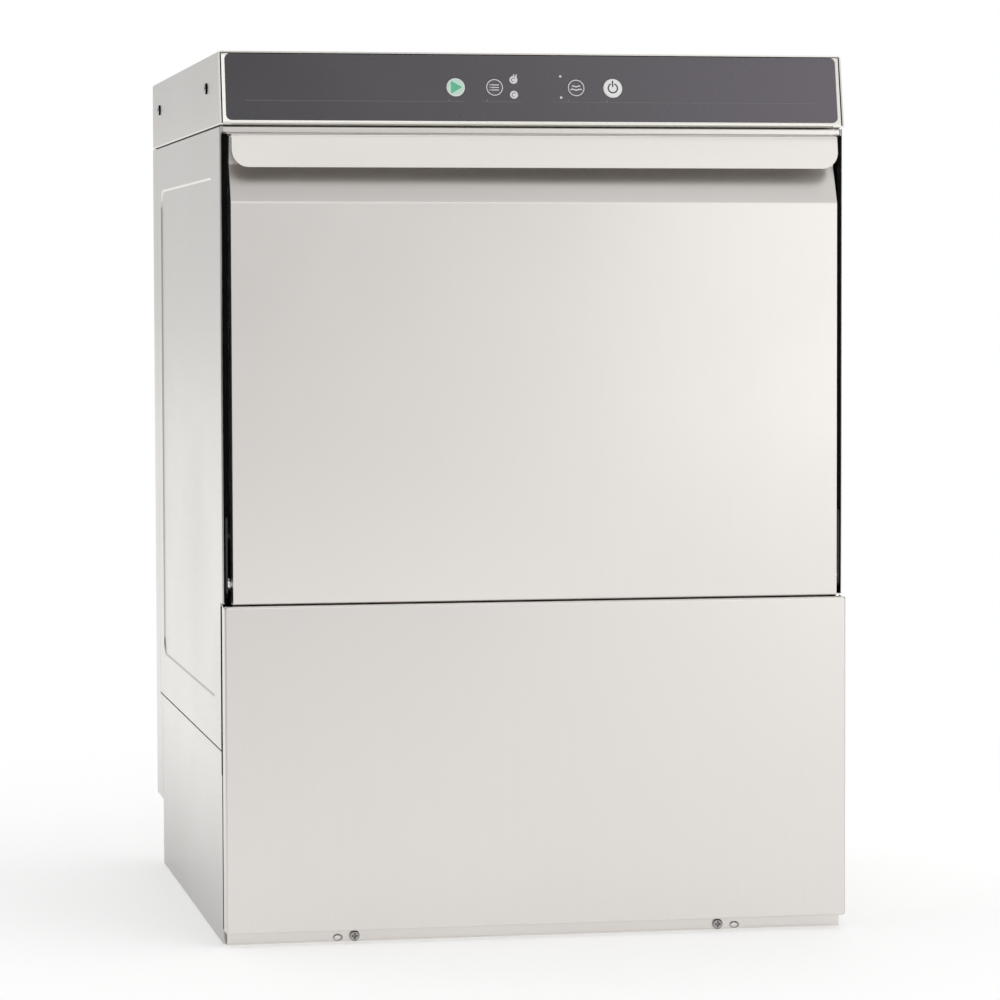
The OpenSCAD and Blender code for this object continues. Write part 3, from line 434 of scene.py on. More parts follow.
def rings(bm, loops, closed=True, cap_first=False, cap_last=False):
    """Quads between consecutive loops of points; closed joins the ends of each loop."""
    rows = [[bm.verts.new(p) for p in loop] for loop in loops]
    for a, b in zip(rows, rows[1:]):
        count = len(a)
        for i in range(count if closed else count - 1):
            j = (i + 1) % count
            bm.faces.new((a[i], a[j], b[j], b[i]))
    if cap_first:
        bm.faces.new(rows[0][::-1])
    if cap_last:
        bm.faces.new(rows[-1])
    return rows


def block(bm, lo, hi):
    """A plain box between two opposite corners."""
    corners = [bm.verts.new(p) for p in itertools.product(*zip(lo, hi))]
    for face in ((0, 1, 3, 2), (4, 6, 7, 5), (0, 4, 5, 1), (2, 3, 7, 6), (0, 2, 6, 4), (1, 5, 7, 3)):
        bm.faces.new([corners[i] for i in face])


def rounded_loop(lo, hi, radius, steps=8):
    """Points round a rectangle with rounded corners, anticlockwise from the lower right corner."""
    radius = max(radius, 1e-5)
    centres = ((hi[0] - radius, lo[1] + radius, -90), (hi[0] - radius, hi[1] - radius, 0),
               (lo[0] + radius, hi[1] - radius, 90), (lo[0] + radius, lo[1] + radius, 180))
    points = []
    for cx, cy, start in centres:
        for i in range(steps + 1):
            a = radians(start + 90 * i / steps)
            points.append((cx + radius * cos(a), cy + radius * sin(a)))
    return points


def fillet(path, radii, steps=5):
    """A 2D path with its inner corners rounded; radii has one number per inner corner."""
    out = [Vector(path[0])]
    for before, corner, after, radius in zip(path, path[1:], path[2:], radii):
        a, b, c = Vector(before), Vector(corner), Vector(after)
        u, v = (a - b).normalized(), (c - b).normalized()
        half = u.angle(v) / 2
        if radius <= 0 or half > radians(89):
            out.append(b)
            continue
        centre = b + (u + v).normalized() * radius / sin(half)
        start = b + u * radius / tan(half) - centre
        end = b + v * radius / tan(half) - centre
        sweep = start.angle_signed(end)
        for i in range(steps + 1):
            t = -sweep * i / steps
            out.append(centre + Vector((start.x * cos(t) - start.y * sin(t),
                                        start.x * sin(t) + start.y * cos(t))))
    out.append(Vector(path[-1]))
    return out


def circle(count):
    """Cosine and sine of count even steps round a circle."""
    return [(cos(a), sin(a)) for a in (2 * pi * i / count for i in range(count))]


def grow(lo, hi, by):
    """Two opposite corners of a rectangle, moved outward."""
    return (lo[0] - by, lo[1] - by), (hi[0] + by, hi[1] + by)


def tube(bm, points, radius, sides):
    """A round bar along 3D points, its rings turned without twist."""
    points = [Vector(p) for p in points]
    tangents = [(b - a).normalized() for a, b in zip(points, points[1:])]
    between = [(a + b).normalized() for a, b in zip(tangents, tangents[1:])]
    tangents = [tangents[0], *between, tangents[-1]]
    normal = tangents[0].orthogonal().normalized()
    loops = []
    for point, tangent in zip(points, tangents):
        normal = (normal - tangent * normal.dot(tangent)).normalized()
        side = tangent.cross(normal)
        loops.append([point + radius * (normal * c + side * s) for c, s in circle(sides)])
    rings(bm, loops, cap_first=True, cap_last=True)


def lathe(bm, profile, centre, axis, capped=True, sides=48):
    """A turned shape from (radius, height) pairs, capped at both ends or closed into a ring."""
    loops = []
    for radius, height in profile:
        around = [(max(radius, 1e-6) * c, max(radius, 1e-6) * s) for c, s in circle(sides)]
        loops.append([Vector(centre) + Vector((c, s, height) if axis == "Z" else (height, c, s))
                      for c, s in around])
    if not capped:
        loops.append(loops[0])
    rings(bm, loops, cap_first=capped, cap_last=capped)


# ---- CAD nodes that stay

def dress_cad_nodes():
    """Gives every CAD node its material, welds its triangles and rounds its edges a little."""
    for name, node in frame["nodes"].items():
        slot = SLOT_OF[name]
        if slot == "stainless_outer" and name in SIDE_FACES:
            material = MATERIALS["stainless_side"]
        elif name == "control_fascia":
            material = MATERIALS["fascia_steel"]
        else:
            material = MATERIALS[slot]
        for place in node.material_slots:
            place.material = MATERIALS["screw_steel"] if name == "case_screws" else material
        if name not in ("filter_basket", "door_springs", "rear_panel"):
            modifier(node, "WELD", "weld", merge_threshold=1e-6)
            soften(node, 0.35 * MM, 35)


# ---- outer sheets

def plate_with_hole(bm, outline, inner_loops):
    """A flat plate between an outline and the first inner loop, then rings, then a middle face."""
    outer = [bm.verts.new(p) for p in outline]
    edges = [bm.edges.new(pair) for pair in zip(outer, outer[1:] + outer[:1])]
    rows = rings(bm, inner_loops, cap_last=True)
    edges += [e for e in bm.edges if e.verts[0] in rows[0] and e.verts[1] in rows[0]]
    bmesh.ops.triangle_fill(bm, use_beauty=True, edges=edges)
    return outer


def s_curve(steps):
    return [0.5 - 0.5 * cos(pi * i / steps) for i in range(steps + 1)]


def fold(bm, edges, shifts):
    """Folds a strip off the given edges, once per shift."""
    for shift in shifts:
        made = bmesh.ops.extrude_edge_only(bm, edges=edges)["geom"]
        for v in (g for g in made if isinstance(g, bmesh.types.BMVert)):
            v.co += Vector(shift)
        edges = [g for g in made if isinstance(g, bmesh.types.BMEdge)]


def side_panel(name, side):
    """Side sheet: a pressed field, folded top and bottom, a rounded front lip beside the door."""
    lo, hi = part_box(name)
    x = hi.x if side > 0 else lo.x
    corner_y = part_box("front_panel")[1].y + JOINT
    door_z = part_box("door_skin")[0].z
    outline = [(corner_y, lo.z), (hi.y, lo.z), (hi.y, hi.z), (lo.y, hi.z), (lo.y, door_z),
               (corner_y, door_z)]
    field_lo, field_hi = (lo.y + 60 * MM, lo.z + 46 * MM), (hi.y - 39 * MM, hi.z - 46 * MM)
    loops = []
    for i, t in enumerate(s_curve(6)):
        inset = 2.2 * MM * i / 6
        a, b = grow(field_lo, field_hi, -inset)
        loops.append([(x - side * 1.4 * MM * t, y, z)
                      for y, z in rounded_loop(a, b, 20 * MM - inset, 10)])
    bm = bmesh.new()
    outer = plate_with_hole(bm, [(x, y, z) for y, z in outline], loops)
    rim = {(a, b): bm.edges.get((outer[a], outer[b])) for a, b in ((0, 1), (2, 3), (3, 4), (5, 0))}
    inward = (-side * 7 * MM, 0, 0)
    fold(bm, [rim[0, 1]], [inward])
    fold(bm, [rim[2, 3]], [inward])
    fold(bm, [rim[3, 4]], [(-side * 2.6 * MM, 0, 0), (0, 10 * MM, 0)])
    fold(bm, [rim[5, 0]], [(-side * 2.6 * MM, 0, 0)])
    piece = new_piece(name + "_sheet", "cabinet", "stainless_side", "stainless_outer", name)
    fill(piece, bm)
    modifier(piece, "BEVEL", "bends", width=1.25 * MM, segments=4, limit_method="ANGLE",
             angle_limit=radians(60))
    thicken(piece, 1.0 * MM)
    flatten(piece)


def joint_strips():
    """Dark strips that close the joint between each cabinet side and the lower front panel."""
    panel_lo, panel_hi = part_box("front_panel")
    base_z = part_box("base_frame")[1].z
    outer, inner = panel_hi.x - 0.15 * MM, panel_hi.x - 3.5 * MM
    heights = (panel_lo.z + 2 * MM, base_z - 22.1 * MM, base_z + 3 * MM, panel_hi.z - 2 * MM)
    bm = bmesh.new()
    for side in (-1, 1):
        for low, high, depth in zip(heights, heights[1:], (-0.2, 3.8, 6.3)):
            block(bm, (side * inner, panel_hi.y - 8 * MM, low),
                  (side * outer, panel_hi.y + depth * MM, high))
    piece = new_piece("joint_strips", "cabinet", "dull_black", "black_rubber")
    fill(piece, bm, tidy=False)


def gap_trims_and_shade():
    """Black edging on the front lips of the cabinet sides, beside the door; it is partly trim and
    partly painted shade for the gap.
    """
    panel_lo, panel_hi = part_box("side_panel_right")
    door_lo, door_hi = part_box("door_skin")
    bracket_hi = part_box("hinge_brackets")[1]
    header_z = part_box("front_header")[0].z
    outer, step = panel_hi.x - 2.6 * MM, bracket_hi.z + 0.5 * MM
    bm = bmesh.new()
    for side in (-1, 1):
        for inner, low, high in ((door_hi.x + 1.6 * MM, step, header_z - 0.3 * MM),
                                 (bracket_hi.x + 0.05 * MM, door_lo.z + 1 * MM, step)):
            block(bm, (side * inner, panel_lo.y - 6 * MM, low),
                  (side * outer, panel_lo.y + 11 * MM, high))
    # painted shade: the black strips fill the door gap, partly as trim and partly standing in for its
    # shade
    piece = new_piece("gap_trims_and_shade", "cabinet", "dull_black", "black_rubber")
    fill(piece, bm, tidy=False)
    soften(piece, 0.6 * MM, 60)


def header_lip():
    """Thin lip under the header that narrows the gap above the door."""
    lo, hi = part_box("front_header")
    bm = bmesh.new()
    block(bm, (lo.x + 0.3 * MM, lo.y + 0.3 * MM, lo.z - 0.8 * MM),
          (hi.x - 0.3 * MM, lo.y + 9 * MM, lo.z + 0.2 * MM))
    piece = new_piece("header_lip", "cabinet", "stainless_outer", "stainless_outer")
    fill(piece, bm)
    soften(piece, 0.3 * MM, 60)


def front_panel():
    """Lower front panel: a shallow pan with long side returns and short top and bottom ones."""
    lo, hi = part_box("front_panel")
    top, bottom, back = lo.y + 7 * MM, lo.y + 12 * MM, hi.y - 7 * MM
    bm = bmesh.new()
    front = [bm.verts.new((x, lo.y, z))
             for x, z in ((lo.x, lo.z), (hi.x, lo.z), (hi.x, hi.z), (lo.x, hi.z))]
    bm.faces.new(front)
    low = [bm.verts.new((x, bottom, lo.z)) for x in (lo.x, hi.x)]
    high = [bm.verts.new((x, top, hi.z)) for x in (hi.x, lo.x)]
    bm.faces.new((front[1], front[0], low[0], low[1]))
    bm.faces.new((front[3], front[2], high[0], high[1]))
    for a, b, c, d, x in ((front[1], front[2], high[0], low[1], hi.x),
                          (front[0], front[3], high[1], low[0], lo.x)):
        back_top = bm.verts.new((x, back, hi.z))
        back_low = bm.verts.new((x, back, lo.z))
        bm.faces.new((a, b, c, back_top, back_low, d))
    piece = new_piece("front_panel_sheet", "cabinet", "stainless_outer", "stainless_outer",
                      "front_panel")
    fill(piece, bm)
    modifier(piece, "BEVEL", "bends", width=2.4 * MM, segments=5, limit_method="ANGLE",
             angle_limit=radians(60))
    thicken(piece, 1.5 * MM)
    flatten(piece)


def hood():
    """Top cover: one folded sheet, cut to the leaning fascia in front and closed at the back."""
    lo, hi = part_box("top_cover")
    slope, bend = FASCIA_LEAN / HOOD_HEIGHT, 2.4 * MM
    section = fillet([(lo.x + 11 * MM, lo.z), (lo.x, lo.z), (lo.x, hi.z), (hi.x, hi.z),
                      (hi.x, lo.z), (hi.x - 11 * MM, lo.z)], [1.6 * MM, bend, bend, 1.6 * MM])
    loops = []
    for share in (0, 0.02, 0.5, 0.98, 1):
        row = []
        for x, z in section:
            front = lo.y + (z - lo.z) * slope
            row.append((x, front + (hi.y - bend - front) * share, z))
        loops.append(row)
    for i in range(1, 6):
        a = radians(90 * i / 5)
        inset = bend * (1 - cos(a))
        back = hi.y - bend * (1 - sin(a))
        row = []
        for x, z in section:
            side = 1 if x > 0 else -1
            row.append((x - side * inset * (abs(x) > hi.x - 5 * MM), back,
                        z - inset * (z > hi.z - 5 * MM)))
        loops.append(row)
    bm = bmesh.new()
    rings(bm, loops, closed=False, cap_last=True)
    piece = new_piece("hood_sheet", "cabinet", "stainless_side", "stainless_outer", "top_cover")
    fill(piece, bm)
    thicken(piece, 1.5 * MM)
    soften(piece, 0.25 * MM, 50)


def door_skin():
    """Outer door sheet in one run: heel, face, slanted cove, top and the rounded handle flap."""
    lo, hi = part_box("door_skin")
    y_face = lo.y + 8.5 * MM
    y_cove = y_face + 15.5 * MM
    cove_low, cove_high = hi.z - 64.2 * MM, hi.z - 28.2 * MM
    heel = y_face + 23 * MM
    roof, flap_end = hi.z - 0.7 * MM, hi.z - 31.2 * MM
    cheek = [(heel, lo.z), (y_face, lo.z), (y_face, cove_low), (y_cove, cove_high), (y_cove, roof)]
    bends = [2.2 * MM, 6 * MM, 5 * MM]
    run = fillet(cheek + [(lo.y + 6.2 * MM, roof), (lo.y + 1.2 * MM, flap_end)],
                 bends + [2 * MM, 1.9 * MM], 6)
    radius = 16 * MM
    columns = [-1, -0.995, -0.6, 0, 0.6, 0.995, 1]
    flap = [run[-2] + (run[-1] - run[-2]) * sin(pi / 2 * i / 12) for i in range(1, 13)]
    rows = []
    edge = hi.x - 1.4 * MM
    for i, p in enumerate(run[:-1] + flap):
        half = edge
        left = p.y - flap_end
        if i > len(run) - 2 and left < radius:
            half -= radius - sqrt(max(radius ** 2 - (radius - left) ** 2, 0))
        rows.append([(half * c, p.x, p.y) for c in columns])
    bm = bmesh.new()
    rings(bm, rows, closed=False)
    back = hi.y - 0.6 * MM
    outline = [*fillet(cheek, bends, 6), (back, roof - 0.2 * MM), (back, lo.z + 19 * MM)]
    for side in (-1, 1):
        bm.faces.new([bm.verts.new((side * edge, y, z)) for y, z in outline])
    bm.faces.new([bm.verts.new((x, y, roof))
                  for x, y in ((-edge, y_cove), (edge, y_cove), (edge, back), (-edge, back))])
    piece = new_piece("door_outer_sheet", "door", "stainless_outer", "stainless_outer", "door_skin")
    fill(piece, bm, 25)
    thicken(piece, 1.2 * MM, 0)
    soften(piece, 0.25 * MM, 50)


def door_liner():
    """Inner door panel: flat rim, drawn field with a soft shoulder, sloping heel."""
    lo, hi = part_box("door_liner")
    rim_y = hi.y - 6 * MM
    hinge_z = lo.z + 17.4 * MM
    field_lo, field_hi = (-0.245, hinge_z + 32 * MM), (0.245, hi.z - 26 * MM)
    loops = []
    steps = 8
    for i, t in enumerate(s_curve(steps)):
        inset = 9 * MM * i / steps - 3 * MM
        a, b = grow(field_lo, field_hi, -inset)
        loops.append([(x, rim_y + 6 * MM * t, z)
                      for x, z in rounded_loop(a, b, 24 * MM - inset, 10)])
    dish_lo, dish_hi = grow(field_lo, field_hi, -70 * MM)
    for i, t in enumerate(s_curve(4)):
        a, b = grow(dish_lo, dish_hi, -6 * MM * i / 4)
        loops.append([(x, rim_y + 6 * MM - 1.6 * MM * t, z)
                      for x, z in rounded_loop(a, b, 30 * MM, 10)])
    bm = bmesh.new()
    outer = plate_with_hole(bm, [(x, rim_y, z) for x, z in (
        (lo.x, hinge_z), (hi.x, hinge_z), (hi.x, hi.z), (lo.x, hi.z))], loops)
    heel = [bm.verts.new((x, lo.y + 1 * MM, lo.z)) for x in (lo.x, hi.x)]
    bm.faces.new((outer[1], outer[0], heel[0], heel[1]))
    piece = new_piece("door_inner_sheet", "door", "stainless_inner", "stainless_inner", "door_liner")
    fill(piece, bm)
    thicken(piece, 1.2 * MM, -1)
    soften(piece, 0.3 * MM, 25)


def rear_louvres():
    """Pressed hoods over the vent slots of the back panel."""
    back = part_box("rear_panel")[1].y - 0.4 * MM
    centre_x, width, first_z, pitch = 0.130, 0.118, 0.1372, 0.016
    bm = bmesh.new()
    for side in (-1, 1):
        for i in range(9):
            rows = []
            for v in range(7):
                a = pi / 2 * v / 6
                rows.append([(side * centre_x + (j / 12 - 0.5) * width,
                              back + 2.4 * MM * sin(a) * sin(pi * j / 12) ** 0.35,
                              first_z + pitch * i - 7 * MM * (1 - cos(a))) for j in range(13)])
            rings(bm, rows, closed=False)
    piece = new_piece("rear_louvre_hoods", "cabinet", "stainless_side", "stainless_outer")
    fill(piece, bm, 40, tidy=False)
    thicken(piece, 0.6 * MM, 0)


# ---- controls

class Fascia:
    """Places printed shapes on the leaning fascia: u to the right, v up its face, w out of it."""

    def __init__(self):
        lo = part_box("top_cover")[0]
        self.origin = Vector((0, lo.y, lo.z))
        angle = atan(FASCIA_LEAN / HOOD_HEIGHT)
        self.up = Vector((0, sin(angle), cos(angle)))
        self.out = Vector((0, -cos(angle), sin(angle)))

    def at(self, u, v, w):
        return self.origin + Vector((u, 0, 0)) + self.up * v + self.out * w


def prism(bm, fascia, outline, low, high):
    """A flat printed shape with straight sides, from an outline in the fascia's plane."""
    rings(bm, [[fascia.at(u, v, w) for u, v in outline] for w in (low, high)],
          cap_first=True, cap_last=True)


def arc_band(bm, fascia, centre, radius, width, low, high, start=0, sweep=360, steps=48):
    """A printed ring or arc of even width."""
    full = sweep >= 360
    count = steps if full else steps + 1
    angles = [radians(start + sweep * i / steps) for i in range(count)]
    inner, outer = radius - width / 2, radius + width / 2
    rows = []
    for r, w in ((inner, low), (outer, low), (outer, high), (inner, high)):
        rows.append([bm.verts.new(fascia.at(centre[0] + r * cos(a), centre[1] + r * sin(a), w))
                     for a in angles])
    for a, b in zip(rows, rows[1:] + rows[:1]):
        for i in range(count if full else count - 1):
            j = (i + 1) % count
            bm.faces.new((a[i], a[j], b[j], b[i]))
    if not full:
        for i in (0, -1):
            bm.faces.new([row[i] for row in rows])


def disc(bm, fascia, centre, radius, low, high, steps=32):
    """A printed dot."""
    outline = [(centre[0] + radius * c, centre[1] + radius * s) for c, s in circle(steps)]
    prism(bm, fascia, outline, low, high)


def bar(bm, fascia, centre, width, height, low, high):
    """A printed rectangle."""
    u, v = centre
    prism(bm, fascia, [(u - width / 2, v - height / 2), (u + width / 2, v - height / 2),
                       (u + width / 2, v + height / 2), (u - width / 2, v + height / 2)], low, high)


def key_cap(fascia, node, material):
    """Key cap with a crowned edge, in place of the plain CAD disc."""
    centre, radius = key_place(node)
    rim = radius / MM
    profile = [(0, -9), (3, -9), (3, -2.6), (rim, -2.6), (rim, 0.1), (rim - 0.10, 0.32),
               (rim - 0.35, 0.45), (rim - 0.9, 0.5), (0, 0.5)]
    bm = bmesh.new()
    loops = []
    for r, w in profile:
        r = max(r, 0.001) * MM
        loops.append([fascia.at(centre[0] + r * c, centre[1] + r * s, w * MM) for c, s in circle(64)])
    rings(bm, loops, cap_first=True, cap_last=True)
    piece = new_piece(node + "_cap", node, material, SLOT_OF[node], node)
    fill(piece, bm, 50)


def key_place(node):
    """Centre of a key in the fascia's plane, and its radius."""
    lo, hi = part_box(node)
    return ((lo.x + hi.x) / 2, KEY_HEIGHT), (hi.x - lo.x) / 2


def wave(bm, fascia, centre, length, swing, width, low, high, steps=24):
    """A printed wavy line."""
    upper, lower = [], []
    for i in range(steps + 1):
        u = centre[0] + length * (i / steps - 0.5)
        v = centre[1] + swing * sin(3 * pi * i / steps)
        upper.append((u, v + width / 2))
        lower.append((u, v - width / 2))
    prism(bm, fascia, lower + upper[::-1], low, high)


def printed(name, body, material, draw):
    """A piece of print on a body, drawn by a function that fills a bmesh."""
    bm = bmesh.new()
    draw(bm)
    piece = new_piece(name, body, material, "overlay")
    return fill(piece, bm, 30, tidy=False)


def controls():
    """Key caps, and the print on the keys and on the film."""
    fascia = Fascia()
    keys = ("key_start", "key_power", "key_program", "key_drain")
    for key, material in zip(keys, ("key_light", "key_light", "key_dark", "key_dark")):
        key_cap(fascia, key, material)
    start, power, program, drain = (key_place(key)[0] for key in keys)

    def triangle(bm):
        u, v = start
        left, right, half = u - 4.6 * MM, u + 6.4 * MM, 6.2 * MM
        prism(bm, fascia, [(left, v - half), (right, v), (left, v + half)],
              KEY_INK[1] - 0.02 * MM, KEY_INK[1] + 0.04 * MM)

    def halo(bm):
        disc(bm, fascia, start, 8.0 * MM, *KEY_INK, steps=48)

    def programme(bm):
        arc_band(bm, fascia, program, 7.7 * MM, 0.85 * MM, *KEY_INK)
        for i in (-1, 0, 1):
            v = program[1] + 2.5 * MM * i
            bar(bm, fascia, (program[0] + 0.6 * MM, v), 7.4 * MM, 0.85 * MM, *KEY_INK)
            disc(bm, fascia, (program[0] - 4.4 * MM, v), 0.5 * MM, *KEY_INK, steps=12)

    def rinse(bm):
        arc_band(bm, fascia, drain, 7.7 * MM, 0.85 * MM, *KEY_INK)
        for rise, length in ((1.5, 8.2), (-1.7, 11.2)):
            wave(bm, fascia, (drain[0], drain[1] + rise * MM), length * MM, 0.45 * MM, 1.15 * MM,
                 *KEY_INK)

    def power_sign(bm):
        arc_band(bm, fascia, power, 4.5 * MM, 1.25 * MM, *KEY_INK, start=112, sweep=316)
        bar(bm, fascia, (power[0], power[1] + 4.3 * MM), 1.25 * MM, 6.2 * MM, *KEY_INK)

    printed("start_field", "key_start", "ink_pale_green", halo)
    printed("start_sign", "key_start", "ink_green", triangle)
    printed("program_sign", "key_program", "ink_light", programme)
    printed("drain_sign", "key_drain", "ink_light", rinse)
    printed("power_sign", "key_power", "ink_dark", power_sign)

    def lamps(bm):
        for u, v, r in ((-20.8, 45.0, 3.9), (-20.8, 30.4, 3.9), (25.1, 48.8, 1.2),
                        (25.1, 27.9, 1.2)):
            disc(bm, fascia, (u * MM, v * MM), r * MM, *FILM_INK)
        for u in (-20.4, -18.0):
            bar(bm, fascia, (u * MM, 49.2 * MM), 1.1 * MM, 2.6 * MM, *FILM_INK)

    def lines(bm):
        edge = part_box("fascia_overlay")[1].x - 18 * MM
        for u0, u1 in ((-edge, -70 * MM), (-52 * MM, -13 * MM), (17 * MM, edge)):
            bar(bm, fascia, ((u0 + u1) / 2, 23.4 * MM), u1 - u0, 0.35 * MM, *FILM_INK)
        for u in (-84, -47, 32, 70):
            disc(bm, fascia, (u * MM, 24.8 * MM), 0.8 * MM, *FILM_INK, steps=12)

    def lamp_marks(bm):
        for v in (45.0, 30.4):
            arc_band(bm, fascia, (-20.8 * MM, v * MM), 1.9 * MM, 0.5 * MM, FILM_INK[1] - 0.02 * MM,
                     FILM_INK[1] + 0.03 * MM, start=30, sweep=250, steps=20)

    printed("indicator_lamps", "cabinet", "ink_light", lamps)
    printed("indicator_marks", "cabinet", "ink_dark", lamp_marks)
    printed("print_lines", "cabinet", "ink_line", lines)


# ---- inside

def chamber():
    """Wash chamber drawn with round corners: loops from the mouth to the back wall."""
    lo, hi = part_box("wash_chamber")
    wall = 1.2 * MM
    depth = hi.y - wall
    bend = 22 * MM

    def section(y, inset):
        left, right, top = lo.x + wall + inset, hi.x - wall - inset, hi.z - wall - inset
        r = max(26 * MM - inset, 4 * MM)
        points = [(right, lo.z)]
        for cx, start in ((right - r, 0), (left + r, 90)):
            for i in range(11):
                t = radians(start + 9 * i)
                points.append((cx + r * cos(t), top - r + r * sin(t)))
        points.append((left, lo.z))
        return [(x, y, z) for x, z in points]

    loops = [section(y, 0) for y in (lo.y, lo.y + 20 * MM, (lo.y + depth) / 2, depth - bend)]
    for i in range(1, 8):
        t = radians(90 * i / 7)
        loops.append(section(depth - bend + bend * sin(t), bend * (1 - cos(t))))
    bm = bmesh.new()
    rings(bm, loops, closed=False, cap_last=True)
    piece = new_piece("chamber_shell", "cabinet", "stainless_inner", "stainless_inner",
                      "wash_chamber")
    fill(piece, bm, 50)
    piece.data.flip_normals()
    thicken(piece, 1.0 * MM, -1)
    soften(piece, 0.25 * MM, 60)


def tank():
    """Tank below the chamber: round-cornered pan that falls to a stepped sump."""
    lo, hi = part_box("tank")
    basket_lo, basket_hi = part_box("filter_basket")
    wall = 1.2 * MM
    sump = (basket_lo + basket_hi) / 2
    floor = TANK_FLOOR + wall
    a = (lo.x + wall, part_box("wash_chamber")[0].y + 3.5 * MM)
    b = (hi.x - wall, hi.y - wall)
    bm = bmesh.new()
    steps = 12
    loops = []
    radius = 30 * MM
    for z in (hi.z, floor + 26 * MM):
        loops.append([(x, y, z) for x, y in rounded_loop(a, b, radius, steps)])
    for i in range(1, 7):
        t = radians(90 * i / 6)
        inset = 24 * MM * (1 - cos(t))
        lo2, hi2 = grow(a, b, -inset)
        loops.append([(x, y, floor + 26 * MM - 24 * MM * sin(t))
                      for x, y in rounded_loop(lo2, hi2, radius - inset * 0.5, steps)])
    count = len(loops[0])

    def ring(r, z):
        angles = [radians(-90 + 360 * (i + 0.5) / count) for i in range(count)]
        return [(sump.x + r * cos(t), sump.y + r * sin(t), z) for t in angles]

    loops.append(ring(84 * MM, floor + 0.4 * MM))
    for i in range(1, 6):
        t = radians(90 * i / 5)
        loops.append(ring(84 * MM - 10.2 * MM * sin(t),
                          floor + 0.4 * MM - 8 * MM * (1 - cos(t))))
    for i in range(6):
        t = radians(90 * i / 5)
        loops.append(ring(73.8 * MM - 10 * MM * (1 - cos(t)),
                          lo.z + 11.2 * MM - 10 * MM * sin(t)))
    rings(bm, loops, cap_last=True)
    piece = new_piece("tank_shell", "cabinet", "stainless_inner", "stainless_inner", "tank")
    fill(piece, bm, 50)
    piece.data.flip_normals()
    thicken(piece, 1.0 * MM, -1)


def gasket():
    """Door seal: a soft lip swept round the mouth on a flat foot, and a black strip beside the door
    that is partly seal and partly painted shade for the gap.
    """
    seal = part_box("door_seal")
    chamber_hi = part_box("wash_chamber")[1]
    door_lo, door_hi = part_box("door_skin")
    plane = seal[1].y
    mouth_lo = (-chamber_hi.x + 1.2 * MM, door_lo.z + 44 * MM)
    mouth_hi = (chamber_hi.x - 1.2 * MM, chamber_hi.z - 9.2 * MM)
    profile = [(2, 0), (2, -1.0), (3.2, -1.5), (4.2, -2.4), (5.4, -3.3), (7, -3.7), (8.6, -3.3),
               (9.8, -2.4), (10.8, -1.5), (13, -1.0), (13, 0)]
    bm = bmesh.new()
    loops = []
    for offset, y in profile:
        a, b = grow(mouth_lo, mouth_hi, offset * MM)
        loops.append([(x, plane + y * MM, z) for x, z in rounded_loop(a, b, (14 + offset) * MM, 12)])
    rows = rings(bm, loops)
    first, last = rows[0], rows[-1]
    for i in range(-1, len(first) - 1):
        bm.faces.new((first[i], last[i], last[i + 1], first[i + 1]))
    # painted shade: the black strips beside the door are partly seal and partly stand in for the
    # shade in the door gap
    for side in (-1, 1):
        for x0, x1, z0, z1, y1 in (
                (door_hi.x + 1.5 * MM, seal[1].x, SEAL_STEP_Z, seal[1].z, plane),
                (door_hi.x + 1.3 * MM, door_hi.x + 2.8 * MM, seal[0].z, SEAL_STEP_Z + 0.5 * MM,
                 plane - 2.3 * MM)):
            block(bm, (side * x0, seal[0].y, z0), (side * x1, y1, z1))
    piece = new_piece("door_seal_lip", "cabinet", "black_rubber", "black_rubber", "door_seal")
    fill(piece, bm, 50)
    soften(piece, 0.4 * MM, 60)


def springs():
    """Coil springs between the rod collars and their guides, built at one length; the real springs
    shorten as the door opens.
    """
    lo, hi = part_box("door_springs")
    wire, coil = 1.6 * MM, 9.5 * MM
    turns, per = 9, 24
    for side, word in ((-1, "left"), (1, "right")):
        centre = Vector((side * SPRING_X, (lo.y + hi.y) / 2, 0))
        low, high = lo.z + wire, hi.z - wire
        points = []
        for i in range(turns * per + 1):
            t = i / (turns * per)
            rise = min(max((t - 0.08) / 0.84, 0), 1)
            a = side * 2 * pi * turns * t
            points.append(centre + Vector((coil * cos(a), coil * sin(a),
                                           low + (high - low) * rise)))
        bm = bmesh.new()
        tube(bm, points, wire, 10)
        piece = new_piece(f"door_spring_{word}", "cabinet", "black_steel", "black_steel",
                          "door_springs")
        fill(piece, bm, 60)
        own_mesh(piece)


def clamps():
    """Worm-drive clips on the hose ends."""
    elbow_lo, elbow_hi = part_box("suction_elbow")
    y = (elbow_lo.y + elbow_hi.y) / 2
    inner, outer, half = 17.1 * MM, 17.9 * MM, 4.5 * MM
    bm = bmesh.new()
    for centre, axis in (((CLIP_X, y, elbow_hi.z - 8 * MM), "Z"),
                         ((elbow_hi.x - 12 * MM, y, CLIP_Z), "X")):
        lathe(bm, [(inner, -half), (outer, -half), (outer, half), (inner, half)], centre, axis)
    piece = new_piece("hose_clips", "cabinet", "bright_steel", "bright_steel")
    fill(piece, bm, 40, tidy=False)


